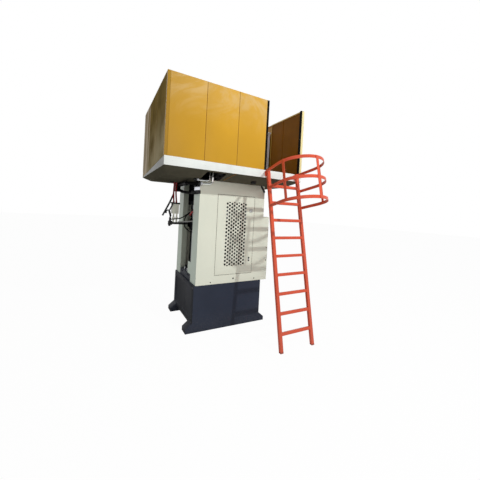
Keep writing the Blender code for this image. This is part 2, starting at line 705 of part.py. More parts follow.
def door_pivot(end, level, side):
    """Plate behind the side panel with the pin that the door turns on. Side is +1 above the
    door and -1 below it."""
    inner = level + side * (DOOR_SEAM + GAP)
    outer = inner + side * PIVOT_PLATE
    low, high = sorted((inner, outer))
    axis_x = HALF_WIDTH - PIVOT_INSET
    axis_y = DOOR_FRONT + PIVOT_FROM_EDGE
    plate = box(
        end + "_pivot_plate",
        (HALF_WIDTH - PIVOT_PLATE_SPAN, DOOR_FRONT - PIVOT_PLATE_SPAN, low),
        (HALF_WIDTH - SHEET / 2, DOOR_FRONT + PIVOT_PLATE_SPAN, high),
    )
    reach = sorted((inner + side * PIVOT_PLATE / 2, level - side * PIVOT_PIN_LENGTH))
    pin = rod(end + "_pivot_pin", PIVOT_RADIUS, reach[0], reach[1], (axis_x, axis_y, 0))
    return plate, pin


def make_door():
    """Folded door with a rectangular vent window, pivot holes and lock holes."""
    corners = [(DOOR_FRONT, DOOR_BOTTOM), (DOOR_REAR, DOOR_BOTTOM), (DOOR_REAR, DOOR_TOP), (DOOR_FRONT, DOOR_TOP)]
    door = folded_panel(
        "side_door", corners, lambda u, v, d: (HALF_WIDTH - d, u, v), DOOR_DEPTH, DOOR_SHEET, "cream_paint"
    )
    window = box(
        "vent_window_cutter",
        (HALF_WIDTH - OVERRUN, VENT_FRONT, VENT_BOTTOM),
        (HALF_WIDTH + OVERRUN, VENT_REAR, VENT_TOP),
    )
    axis = (HALF_WIDTH - PIVOT_INSET, DOOR_FRONT + PIVOT_FROM_EDGE, 0)
    pin_hole = rod(
        "pivot_hole_cutter", PIVOT_RADIUS + PIVOT_HOLE_CLEAR, DOOR_BOTTOM - OVERRUN, DOOR_TOP + OVERRUN, axis
    )
    lock_holes = [
        rod("lock_hole_cutter", LOCK_SHAFT_RADIUS + GAP, -OVERRUN, OVERRUN, (HALF_WIDTH, lock_y(), z), axis="X")
        for z in (LOCK_UPPER, LOCK_LOWER)
    ]
    return cut(door, window, pin_hole, *lock_holes)


def lock_y():
    return DOOR_REAR - LOCK_FROM_EDGE


def make_lock(name, height):
    """Quarter-turn lock: slotted head outside, shaft through the door, cam inside. The cam
    stands upright, clear of the side panel, so the door is free to swing."""
    cam_front = -DOOR_DEPTH - LOCK_CAM_CLEAR
    cam_back = cam_front - LOCK_CAM
    profile = [
        (0, cam_back), (LOCK_SHAFT_RADIUS, cam_back), (LOCK_SHAFT_RADIUS, GAP),
        (LOCK_HEAD_RADIUS, GAP), (LOCK_HEAD_RADIUS, LOCK_HEAD_PROUD), (0, LOCK_HEAD_PROUD),
    ]
    place = (HALF_WIDTH, lock_y(), height)
    lock = turned(name, profile, place, "machined_steel", axis="X")
    cam = box(
        name + "_cam",
        (HALF_WIDTH + cam_back, lock_y() - LOCK_CAM_WIDTH / 2, height - LOCK_CAM_WIDTH / 2),
        (HALF_WIDTH + cam_front, lock_y() + LOCK_CAM_WIDTH / 2, height + LOCK_CAM_LENGTH),
    )
    slot = box(
        name + "_slot_cutter",
        (HALF_WIDTH + LOCK_HEAD_PROUD - LOCK_SLOT_DEPTH, lock_y() - LOCK_SLOT_WIDTH / 2, height - OVERRUN),
        (HALF_WIDTH + LOCK_HEAD_PROUD + OVERRUN, lock_y() + LOCK_SLOT_WIDTH / 2, height + OVERRUN),
    )
    return cut(fuse(lock, cam), slot)


def make_vent_grille():
    """Perforated sheet behind the door's window. Each cell of the staggered pattern is a
    six-sided hole in a ring of six faces, and the cells round the edge are plain."""
    cell_u = (VENT_REAR - VENT_FRONT) / VENT_COLUMNS
    cell_v = (VENT_TOP - VENT_BOTTOM) / VENT_ROWS
    radius = min(cell_u, cell_v) * VENT_HOLE_SHARE
    outside = HALF_WIDTH - DOOR_SHEET - GAP
    bm = bmesh.new()

    def vert(u, v, back):
        return bm.verts.new((outside - (VENT_SHEET if back else 0), u, v))

    def plain_cell(u, v, width):
        for back in (False, True):
            points = [(u, v), (u + width / 2, v), (u + width, v), (u + width, v + cell_v),
                      (u + width / 2, v + cell_v), (u, v + cell_v)]
            if width < cell_u:
                points = [points[0], points[2], points[3], points[5]]
            bm.faces.new([vert(a, b, back) for a, b in points])

    def holed_cell(u, v):
        corners = [(u, v), (u + cell_u / 2, v), (u + cell_u, v), (u + cell_u, v + cell_v),
                   (u + cell_u / 2, v + cell_v), (u, v + cell_v)]
        angles = [math.radians(a) for a in (-150, -90, -30, 30, 90, 150)]
        middle = (u + cell_u / 2, v + cell_v / 2)
        hole = [(middle[0] + radius * math.cos(a), middle[1] + radius * math.sin(a)) for a in angles]
        for i in range(HEX_SIDES):
            j = (i + 1) % HEX_SIDES
            for back in (False, True):
                ring = (corners[i], corners[j], hole[j], hole[i])
                bm.faces.new([vert(a, b, back) for a, b in ring])
            bm.faces.new([vert(*hole[i], False), vert(*hole[j], False), vert(*hole[j], True), vert(*hole[i], True)])

    for row in range(-1, VENT_ROWS + 1):
        v = VENT_BOTTOM + row * cell_v
        shift = cell_u / 2 if row % 2 else 0
        start = VENT_FRONT - cell_u
        if shift:
            plain_cell(start, v, cell_u / 2)
            plain_cell(VENT_REAR + cell_u / 2, v, cell_u / 2)
        for column in range(-1, VENT_COLUMNS + (0 if shift else 1)):
            u = VENT_FRONT + column * cell_u + shift
            inside = 0 <= row < VENT_ROWS and 0 <= column < VENT_COLUMNS - (1 if shift else 0)
            if inside:
                holed_cell(u, v)
            else:
                plain_cell(u, v, cell_u)
    bmesh.ops.remove_doubles(bm, verts=bm.verts, dist=GAP / 3)
    rim = [edge for edge in bm.edges if len(edge.link_faces) == 1]
    bmesh.ops.bridge_loops(bm, edges=rim)
    return from_bmesh("vent_grille", bm, "perforated_steel")


def make_rear_covers():
    """Low box behind the uprights and the flat cover above it."""
    front = UPRIGHT_DEPTH + GAP
    corners_x = BODY_WIDTH / 2 - SHEET - GAP
    corners = [(-corners_x, UPRIGHT_BOTTOM), (corners_x, UPRIGHT_BOTTOM),
               (corners_x, REAR_BOX_TOP - GAP), (-corners_x, REAR_BOX_TOP - GAP)]
    rear = UPRIGHT_DEPTH + REAR_BOX_DEPTH
    cover = folded_panel("rear_cover", corners, lambda u, v, d: (u, rear - d, v), rear - front, SHEET, "cream_paint")
    upper = box(
        "rear_cover_upper",
        (FAR_OPENING_EDGE - INNER_FLANGE / 2, front, REAR_BOX_TOP - GAP - SHEET / 2),
        (NEAR_OPENING_EDGE + INNER_FLANGE / 2, front + SHEET, UPRIGHT_TOP),
    )
    fuse(cover, upper)


def skid_outline():
    """Skid seen from the side: a low beam whose two ends flare into feet."""
    front = -BASE_PROUD_FRONT
    rear = UPRIGHT_DEPTH + BASE_PROUD_REAR
    return [
        (front - FOOT_REACH, 0), (rear + FOOT_REACH, 0), (rear + FOOT_REACH, FOOT_TOE_HEIGHT),
        (rear, FOOT_SLOPE_TOP), (rear - FOOT_REACH, FOOT_SLOPE_TOP), (rear - FOOT_REACH - SKID_HEIGHT, SKID_HEIGHT),
        (front + FOOT_REACH + SKID_HEIGHT, SKID_HEIGHT), (front + FOOT_REACH, FOOT_SLOPE_TOP),
        (front, FOOT_SLOPE_TOP), (front - FOOT_REACH, FOOT_TOE_HEIGHT),
    ]


def make_base():
    """Welded box on two skids. It is open below, its front and rear plates stop above the
    floor, and its front plate is recessed inside a border."""
    front = -BASE_PROUD_FRONT
    rear = UPRIGHT_DEPTH + BASE_PROUD_REAR
    base = box("base_frame", (-BASE_HALF_WIDTH, front, BASE_LIFT), (BASE_HALF_WIDTH, rear, BASE_TOP), "navy_paint")
    hollow = box(
        "base_hollow_cutter",
        (BASE_PLATE - BASE_HALF_WIDTH, front + BASE_PLATE + FRONT_RECESS, BASE_LIFT - OVERRUN),
        (BASE_HALF_WIDTH - BASE_PLATE, rear - BASE_PLATE, BASE_TOP - BASE_DECK),
    )
    recess = box(
        "front_recess_cutter",
        (FRONT_BORDER - BASE_HALF_WIDTH, front - OVERRUN, BASE_LIFT + FRONT_BORDER),
        (BASE_HALF_WIDTH - FRONT_BORDER, front + FRONT_RECESS, BASE_TOP - FRONT_BORDER),
    )
    cut(base, hollow, recess)
    skids = []
    for side in (-1, 1):
        reach = sorted((side * BASE_HALF_WIDTH, side * (BASE_HALF_WIDTH - SKID_WIDTH)))
        skids.append(prism("skid", skid_outline(), "X", reach[0], reach[1]))
    fuse(base, *skids)
    holes = [
        rod("base_column_hole", COLUMN_RADIUS + RUNNING_CLEAR, BASE_TOP - BASE_DECK - OVERRUN, BASE_TOP + OVERRUN, at)
        for at in column_places()
    ]
    ejector_hole = rod(
        "base_ejector_hole", EJECTOR_ROD_RADIUS + RUNNING_CLEAR,
        BASE_TOP - BASE_DECK - OVERRUN, BASE_TOP + OVERRUN, (0, PRESS_MIDDLE_Y, 0),
    )
    return cut(base, *holes, ejector_hole)


def column_places():
    return [(x, y, 0) for y in (COLUMN_FRONT_Y, COLUMN_REAR_Y) for x in (COLUMN_X, -COLUMN_X)]


def slot_outline(x, top):
    """T-slot cross-section, run past the face that it opens on."""
    neck = top - SLOT_NECK
    floor = neck - SLOT_HEAD
    return [
        (x - SLOT_HEAD_WIDTH / 2, floor), (x + SLOT_HEAD_WIDTH / 2, floor), (x + SLOT_HEAD_WIDTH / 2, neck),
        (x + SLOT_WIDTH / 2, neck), (x + SLOT_WIDTH / 2, top + OVERRUN), (x - SLOT_WIDTH / 2, top + OVERRUN),
        (x - SLOT_WIDTH / 2, neck), (x - SLOT_HEAD_WIDTH / 2, neck),
    ]


def slot_places():
    """The slots lie on both sides of the middle, clear of the ejector hole."""
    return [side * (SLOT_PITCH / 2 + k * SLOT_PITCH / 2) for side in (-1, 1) for k in range(1, SLOT_COUNT)]


def make_bolster():
    """Machine table: wide between the columns, with a tongue that fills the front opening."""
    tongue_near = NEAR_OPENING_EDGE - TONGUE_SIDE_CLEAR
    tongue_far = FAR_OPENING_EDGE + TONGUE_SIDE_CLEAR
    plan = [
        (tongue_far, 0), (tongue_near, 0), (tongue_near, BOLSTER_FRONT), (BOLSTER_HALF_WIDTH, BOLSTER_FRONT),
        (BOLSTER_HALF_WIDTH, BOLSTER_REAR), (-BOLSTER_HALF_WIDTH, BOLSTER_REAR),
        (-BOLSTER_HALF_WIDTH, BOLSTER_FRONT), (tongue_far, BOLSTER_FRONT),
    ]
    bolster = prism("bolster", plan, "Z", BASE_TOP + GAP, BOLSTER_TOP, "navy_paint")
    slots = [
        prism("bolster_slot", slot_outline(x, BOLSTER_TOP), "Y", -OVERRUN, BOLSTER_REAR + OVERRUN)
        for x in slot_places()
    ]
    holes = [
        rod("bolster_column_hole", COLUMN_RADIUS + RUNNING_CLEAR, BASE_TOP - OVERRUN, BOLSTER_TOP + OVERRUN, at)
        for at in column_places()
    ]
    ejector_hole = rod(
        "bolster_ejector_hole", EJECTOR_ROD_RADIUS + RUNNING_CLEAR,
        BASE_TOP - OVERRUN, BOLSTER_TOP + OVERRUN, (0, PRESS_MIDDLE_Y, 0),
    )
    return cut(bolster, *slots, *holes, ejector_hole)


def make_columns():
    """Turned columns: hexagon-sized head under the base, working length, shoulder, thread."""
    head_top = BASE_TOP - BASE_DECK - GAP
    shoulder = CROWN_BOTTOM - GAP
    profile = [
        (0, head_top - COLUMN_HEAD_HEIGHT), (COLUMN_HEAD_RADIUS, head_top - COLUMN_HEAD_HEIGHT),
        (COLUMN_HEAD_RADIUS, head_top), (COLUMN_RADIUS, head_top), (COLUMN_RADIUS, shoulder),
        (COLUMN_THREAD_RADIUS, shoulder), (COLUMN_THREAD_RADIUS, COLUMN_END), (0, COLUMN_END),
    ]
    names = ["front_near", "front_far", "rear_near", "rear_far"]
    for name, at in zip(names, column_places()):
        turned(name + "_column", profile, at, "ground_steel")
        nut = rod(name + "_column_nut", NUT_RADIUS, CROWN_TOP + GAP, CROWN_TOP + GAP + NUT_HEIGHT, at,
                  "machined_steel", sides=HEX_SIDES)
        hole = rod(name + "_nut_hole", COLUMN_THREAD_RADIUS + RUNNING_CLEAR,
                   CROWN_TOP - OVERRUN, CROWN_TOP + NUT_HEIGHT + OVERRUN, at)
        cut(nut, hole)


def make_crown():
    """Upper beam: a deep block with shallow pockets in its front and rear faces."""
    crown = box(
        "crown", (-CROWN_HALF_WIDTH, CROWN_FRONT, CROWN_BOTTOM), (CROWN_HALF_WIDTH, CROWN_REAR, CROWN_TOP), "navy_paint"
    )
    cutters = []
    pocket_edge = CROWN_HALF_WIDTH - CROWN_FLANGE
    for name, start, end in (
        ("front", CROWN_FRONT - OVERRUN, CROWN_FRONT + CROWN_POCKET_DEPTH),
        ("rear", CROWN_REAR - CROWN_POCKET_DEPTH, CROWN_REAR + OVERRUN),
    ):
        for side in (-1, 1):
            reach = sorted((side * pocket_edge, side * CROWN_FLANGE / 2))
            cutters.append(box(
                name + "_pocket_cutter",
                (reach[0], start, CROWN_BOTTOM + CROWN_FLANGE), (reach[1], end, CROWN_TOP - CROWN_FLANGE),
            ))
    for at in column_places():
        cutters.append(rod("crown_column_hole", COLUMN_THREAD_RADIUS + RUNNING_CLEAR,
                           CROWN_BOTTOM - OVERRUN, CROWN_TOP + OVERRUN, at))
    cutters.append(rod("crown_bore", CYLINDER_RADIUS + RUNNING_CLEAR,
                       CROWN_BOTTOM - OVERRUN, CROWN_TOP + OVERRUN, (0, PRESS_MIDDLE_Y, 0)))
    return cut(crown, *cutters)


def make_cylinder():
    """Main cylinder bolted under the crown by its flange, with the ram inside."""
    at = (0, PRESS_MIDDLE_Y, 0)
    flange_top = CROWN_BOTTOM - GAP
    bottom = flange_top - CYLINDER_FLANGE
    bore_top = CYLINDER_TOP - CYLINDER_HEAD
    port_top = CYLINDER_TOP + CYLINDER_PORT_HEIGHT
    profile = [
        (0, bore_top), (CYLINDER_BORE, bore_top), (CYLINDER_BORE, bottom), (CYLINDER_FLANGE_RADIUS, bottom),
        (CYLINDER_FLANGE_RADIUS, flange_top), (CYLINDER_RADIUS, flange_top), (CYLINDER_RADIUS, CYLINDER_TOP),
        (CYLINDER_PORT_RADIUS, CYLINDER_TOP), (CYLINDER_PORT_RADIUS, port_top), (0, port_top),
    ]
    turned("main_cylinder", profile, at, "grey_paint")
    flange_bottom = SLIDE_TOP + GAP
    ram_profile = [
        (0, flange_bottom), (RAM_FLANGE_RADIUS, flange_bottom), (RAM_FLANGE_RADIUS, flange_bottom + RAM_FLANGE),
        (RAM_RADIUS, flange_bottom + RAM_FLANGE), (RAM_RADIUS, RAM_TOP), (0, RAM_TOP),
    ]
    turned("ram", ram_profile, at, "ground_steel")


def make_slide():
    """Moving platen: a centre block with an ear and a guide bush round each column, and
    T-slots below."""
    slide = box(
        "slide", (-SLIDE_HALF_WIDTH, SLIDE_FRONT, SLIDE_BOTTOM), (SLIDE_HALF_WIDTH, SLIDE_REAR, SLIDE_TOP), "navy_paint"
    )
    ears = []
    bushes = []
    for x, y, _ in column_places():
        side = math.copysign(1, x)
        reach = sorted((side * (SLIDE_HALF_WIDTH - OVERRUN), side * (COLUMN_X + SLIDE_EAR_HALF)))
        ears.append(box("slide_ear", (reach[0], y - SLIDE_EAR_HALF, SLIDE_BOTTOM + SLIDE_BUSH_HEIGHT),
                        (reach[1], y + SLIDE_EAR_HALF, SLIDE_TOP - SLIDE_BUSH_HEIGHT / 2)))
        bushes.append(rod("slide_bush", SLIDE_BUSH_RADIUS, SLIDE_BOTTOM, SLIDE_TOP + SLIDE_BUSH_HEIGHT, (x, y, 0)))
    fuse(slide, *ears)
    fuse(slide, *bushes)
    holes = [
        rod("slide_column_hole", COLUMN_RADIUS + RUNNING_CLEAR, SLIDE_BOTTOM - OVERRUN,
            SLIDE_TOP + SLIDE_BUSH_HEIGHT + OVERRUN, at)
        for at in column_places()
    ]
    slots = []
    for x in slot_places():
        outline = [(u, SLIDE_BOTTOM + BOLSTER_TOP - v) for u, v in slot_outline(x, BOLSTER_TOP)]
        slots.append(prism("slide_slot", outline, "Y", SLIDE_FRONT - OVERRUN, SLIDE_REAR + OVERRUN))
    return cut(slide, *holes, *slots)


def make_ejector():
    """Lower cylinder under the base deck. Its rod comes up through the middle of the bolster."""
    at = (0, PRESS_MIDDLE_Y, 0)
    top = BASE_TOP - BASE_DECK - GAP
    bottom = top - EJECTOR_LENGTH
    floor = bottom + EJECTOR_FLANGE
    profile = [
        (0, bottom), (EJECTOR_RADIUS, bottom), (EJECTOR_RADIUS, top - EJECTOR_FLANGE),
        (EJECTOR_FLANGE_RADIUS, top - EJECTOR_FLANGE), (EJECTOR_FLANGE_RADIUS, top), (EJECTOR_BORE, top),
        (EJECTOR_BORE, floor), (0, floor),
    ]
    turned("ejector_cylinder", profile, at, "grey_paint")
    piston_bottom = floor + GAP
    piston_top = piston_bottom + EJECTOR_PISTON_HEIGHT
    rod_top = BOLSTER_TOP - EJECTOR_HEAD_SUNK
    rod_profile = [
        (0, piston_bottom), (EJECTOR_PISTON_RADIUS, piston_bottom), (EJECTOR_PISTON_RADIUS, piston_top),
        (EJECTOR_ROD_RADIUS, piston_top), (EJECTOR_ROD_RADIUS, rod_top), (0, rod_top),
    ]
    turned("ejector_rod", rod_profile, at, "ground_steel")


def soffit_ring(side_inset, end_inset, corner):
    """Outline of the soffit at one height, with its corners cut back."""
    near = DECK_NEAR - SHEET - GAP - side_inset
    far = SHEET + GAP + side_inset - DECK_FAR
    front = SHEET + GAP + end_inset - DECK_FRONT
    rear = DECK_REAR - SHEET - GAP - end_inset
    return [
        (far + corner, front), (near - corner, front), (near, front + corner), (near, rear - corner),
        (near - corner, rear), (far + corner, rear), (far, rear - corner), (far, front + corner),
    ]


def make_soffit():
    """Shallow tray under the platform: its border slopes down and in to a flat bottom. The
    crown passes through it, and a window lets the pipes through."""
    levels = [
        (FASCIA_BOTTOM, 0, 0, GAP), (SOFFIT_BOTTOM, SOFFIT_SLOPE_SIDE, SOFFIT_SLOPE_END,
                                     SOFFIT_SLOPE_END * SOFFIT_CORNER_SHARE),
    ]
    bm = bmesh.new()
    outer = []
    inner = []
    for z, side_inset, end_inset, corner in levels:
        ring = soffit_ring(side_inset, end_inset, corner)
        outer.append([bm.verts.new((x, y, z)) for x, y in ring])
        inner.append([bm.verts.new((x, y, z + SHEET)) for x, y in ring])
    sides = len(outer[0])
    for i in range(sides):
        j = (i + 1) % sides
        bm.faces.new([outer[0][i], outer[0][j], outer[1][j], outer[1][i]])
        bm.faces.new([inner[0][i], inner[0][j], inner[1][j], inner[1][i]])
        bm.faces.new([outer[0][i], outer[0][j], inner[0][j], inner[0][i]])
    bm.faces.new(outer[1])
    bm.faces.new(inner[1])
    soffit = from_bmesh("soffit", bm, "dark_soffit_paint")
    crown_window = box(
        "crown_window_cutter",
        (-CROWN_HALF_WIDTH - CROWN_WINDOW_CLEAR, CROWN_FRONT - CROWN_WINDOW_CLEAR, SOFFIT_BOTTOM - OVERRUN),
        (CROWN_HALF_WIDTH + CROWN_WINDOW_CLEAR, CROWN_REAR + CROWN_WINDOW_CLEAR, SOFFIT_BOTTOM + SHEET + OVERRUN),
    )
    pipe_window = box(
        "pipe_window_cutter",
        (HALF_WIDTH + SHEET, -PIPE_WINDOW_FRONT, SOFFIT_BOTTOM - OVERRUN),
        (HALF_WIDTH + PIPE_WINDOW_REACH, PIPE_WINDOW_REAR, FASCIA_BOTTOM + SHEET + OVERRUN),
    )
    return cut(soffit, crown_window, pipe_window)


def make_fascia():
    """Off-white edge frame round the platform: four folded sides welded into one ring."""
    ring = box("fascia", (-DECK_FAR, -DECK_FRONT, FASCIA_BOTTOM), (DECK_NEAR, DECK_REAR, FASCIA_TOP), "off_white_paint")
    inside = box(
        "fascia_inside_cutter",
        (SHEET - DECK_FAR, SHEET - DECK_FRONT, FASCIA_BOTTOM - OVERRUN),
        (DECK_NEAR - SHEET, DECK_REAR - SHEET, FASCIA_TOP + OVERRUN),
    )
    return cut(ring, inside)


def make_deck():
    """Floor plate inside the fascia, with a round hole for the main cylinder."""
    edge = SHEET + GAP
    deck = box(
        "deck_plate",
        (edge - DECK_FAR, edge - DECK_FRONT, FASCIA_TOP - DECK_PLATE), (DECK_NEAR - edge, DECK_REAR - edge, FASCIA_TOP),
        "grey_paint",
    )
    hole = rod("deck_hole_cutter", CYLINDER_RADIUS + RUNNING_CLEAR, FASCIA_TOP - OVERRUN, FASCIA_TOP + OVERRUN,
               (0, PRESS_MIDDLE_Y, 0))
    return cut(deck, hole)


def wall_strips(start, widths):
    """Start and end of each panel along a wall, with a seam between neighbours."""
    strips = []
    for width in widths:
        strips.append((start, start + width - WALL_SEAM))
        start += width
    return strips


def rectangle(start, end, bottom, top):
    return [(start, bottom), (end, bottom), (end, top), (start, top)]


def front_wall_bottom(x):
    """Height of the front wall's lower edge, which falls towards the far side."""
    share = (WALL_NEAR_FACE - x) / (WALL_NEAR_FACE - WALL_FAR_FACE)
    return FASCIA_TOP - FRONT_DROP * share


def make_walls():
    """Folded panels of the guard enclosure. They are open towards the platform."""
    near_start = FRONT_WALL_FACE + POST_SIZE + WALL_SEAM
    near_rest = NEAR_WALL_END - near_start - 2 * PANEL_WIDTH
    for number, (start, end) in enumerate(wall_strips(near_start, (PANEL_WIDTH, PANEL_WIDTH, near_rest)), 1):
        folded_panel(
            "near_wall_panel_%d" % number, rectangle(start, end, WALL_BOTTOM, WALL_TOP),
            lambda u, v, d: (WALL_NEAR_FACE - d, u, v), WALL_DEPTH, SHEET, "ochre_paint",
        )
    front_start = WALL_FAR_FACE + POST_SIZE + WALL_SEAM
    front_width = (WALL_NEAR_FACE - POST_SIZE - front_start) / 3
    for number, (start, end) in enumerate(wall_strips(front_start, [front_width] * 3), 1):
        panel = folded_panel(
            "front_wall_panel_%d" % number, rectangle(start, end, WALL_BOTTOM, WALL_TOP),
            lambda u, v, d: (u, FRONT_WALL_FACE + d, v), WALL_DEPTH, SHEET, "ochre_paint",
        )
        corners = [(start, front_wall_bottom(start)), (end, front_wall_bottom(end)),
                   (end, WALL_BOTTOM + SHEET), (start, WALL_BOTTOM + SHEET)]
        fuse(panel, prism("front_lap", corners, "Y", FRONT_WALL_FACE, FRONT_WALL_FACE + FRONT_LAP - GAP))
    far_start = near_start
    far_width = (WALL_REAR_FACE - POST_SIZE - far_start) / 2
    for number, (start, end) in enumerate(wall_strips(far_start, [far_width] * 2), 1):
        folded_panel(
            "far_wall_panel_%d" % number, rectangle(start, end, WALL_BOTTOM, WALL_TOP),
            lambda u, v, d: (WALL_FAR_FACE + d, u, v), WALL_DEPTH, SHEET, "ochre_paint",
        )


def make_rear_wall():
    """Two panels and a wide end panel. The middle one has a small hole near its seam."""
    start = DECK_NEAR - REAR_POST_SIZE - WALL_SEAM
    rest = start - REAR_PANEL_WIDTH - REAR_END_PANEL_WIDTH - WALL_FAR_FACE - POST_SIZE - WALL_SEAM
    for number, width in enumerate((REAR_PANEL_WIDTH, REAR_END_PANEL_WIDTH, rest), 1):
        end = start - width + WALL_SEAM
        panel = folded_panel(
            "rear_wall_panel_%d" % number, rectangle(end, start, WALL_BOTTOM, WALL_TOP),
            lambda u, v, d: (u, WALL_REAR_FACE - d, v), WALL_DEPTH, SHEET, "ochre_paint",
        )
        if number == 2:
            place = (start - HANDLE_HOLE_FROM_SEAM, WALL_REAR_FACE, HANDLE_HOLE_HEIGHT)
            cut(panel, rod("handle_hole_cutter", HANDLE_HOLE_RADIUS, -OVERRUN, OVERRUN, place, axis="Y"))
        start -= width


def square_tube(name, low, high, finish):
    """Post of square tube with a closed top, open below."""
    post = box(name, low, high, finish)
    inside = box(
        name + "_inside_cutter",
        (low[0] + SHEET, low[1] + SHEET, low[2] - OVERRUN), (high[0] - SHEET, high[1] - SHEET, high[2] - SHEET),
    )
    return cut(post, inside)


def make_posts():
    """Corner posts, and the two black seals beside the doorway."""
    front = FRONT_WALL_FACE
    near = WALL_NEAR_FACE
    far = WALL_FAR_FACE
    rear = WALL_REAR_FACE
    size = POST_SIZE
    square_tube("front_near_post", (near - size, front, WALL_BOTTOM), (near, front + size, WALL_TOP),
                "light_ochre_paint")
    square_tube("front_far_post", (far, front, WALL_BOTTOM), (far + size, front + size, WALL_TOP), "ochre_paint")
    square_tube("rear_far_post", (far, rear - size, WALL_BOTTOM), (far + size, rear, WALL_TOP), "ochre_paint")
    post_front = DECK_REAR - REAR_POST_SIZE
    square_tube(
        "rear_near_post", (DECK_NEAR - REAR_POST_SIZE, post_front, WALL_BOTTOM), (DECK_NEAR, DECK_REAR, WALL_TOP),
        "cream_paint",
    )
    seal_start = NEAR_WALL_END - WALL_SEAM + GAP
    box("near_jamb_seal", (near - SEAL_THICK, seal_start, WALL_BOTTOM), (near, NEAR_WALL_END + SEAL_WIDTH, WALL_TOP),
        "black_rubber")
    box("rear_jamb_seal", (near - SEAL_THICK, post_front - GAP - REAR_SEAL, WALL_BOTTOM),
        (near, post_front - GAP, WALL_TOP), "black_rubber")


def make_power_unit():
    """Oil tank of plate that stands on the deck, with an overlapping lid and a filler cap,
    and the pump set beside it."""
    low = (-TANK_FAR, TANK_FRONT, WALL_BOTTOM)
    high = (TANK_NEAR, TANK_REAR - TANK_RIM, TANK_TOP - TANK_LID / 2)
    tank = box("oil_tank", low, high, "grey_paint")
    lid = box("tank_lid", (low[0] - TANK_RIM, low[1] - TANK_RIM, TANK_TOP - TANK_LID),
              (high[0] + TANK_RIM, TANK_REAR, TANK_TOP))
    cap = rod("tank_cap", TANK_CAP_RADIUS, TANK_TOP - TANK_LID / 2, TANK_TOP + TANK_CAP_HEIGHT,
              ((TANK_NEAR - TANK_FAR) / 2, (TANK_FRONT + TANK_REAR) / 2, 0))
    fuse(fuse(tank, lid), cap)
    inside = box("tank_inside_cutter", (low[0] + TANK_WALL, low[1] + TANK_WALL, low[2] - OVERRUN),
                 (high[0] - TANK_WALL, high[1] - TANK_WALL, high[2] - TANK_LID))
    cut(tank, inside)
    axis_z = WALL_BOTTOM + MOTOR_FOOT_HEIGHT
    profile = [(0, -PUMP_LENGTH), (PUMP_RADIUS, -PUMP_LENGTH), (PUMP_RADIUS, 0), (MOTOR_RADIUS, 0)]
    pitch = MOTOR_LENGTH / (2 * MOTOR_RIB_COUNT)
    for rib in range(MOTOR_RIB_COUNT):
        along = (2 * rib + 1) * pitch
        inner = MOTOR_RADIUS - MOTOR_RIB_DEPTH
        profile += [(MOTOR_RADIUS, along), (inner, along), (inner, along + pitch), (MOTOR_RADIUS, along + pitch)]
    end = MOTOR_LENGTH + COWL_LENGTH
    profile += [(MOTOR_RADIUS, MOTOR_LENGTH + COWL_LENGTH / 2), (MOTOR_RADIUS - MOTOR_RIB_DEPTH, end), (0, end)]
    motor = turned("pump_motor", profile, (-MOTOR_X, MOTOR_FRONT_Y, axis_z), "grey_paint", axis="Y")
    foot = box(
        "motor_foot",
        (-MOTOR_X - MOTOR_FOOT_HALF_WIDTH, MOTOR_FRONT_Y + pitch / 2, WALL_BOTTOM),
        (-MOTOR_X + MOTOR_FOOT_HALF_WIDTH, MOTOR_FRONT_Y + MOTOR_LENGTH - pitch / 2, axis_z),
    )
    fuse(motor, foot)


def pipe(name, corners):
    """Steel pipe with round bends between its corner points."""
    return tube(name, bent_route(corners, PIPE_BEND), PIPE_RADIUS, "ground_steel")


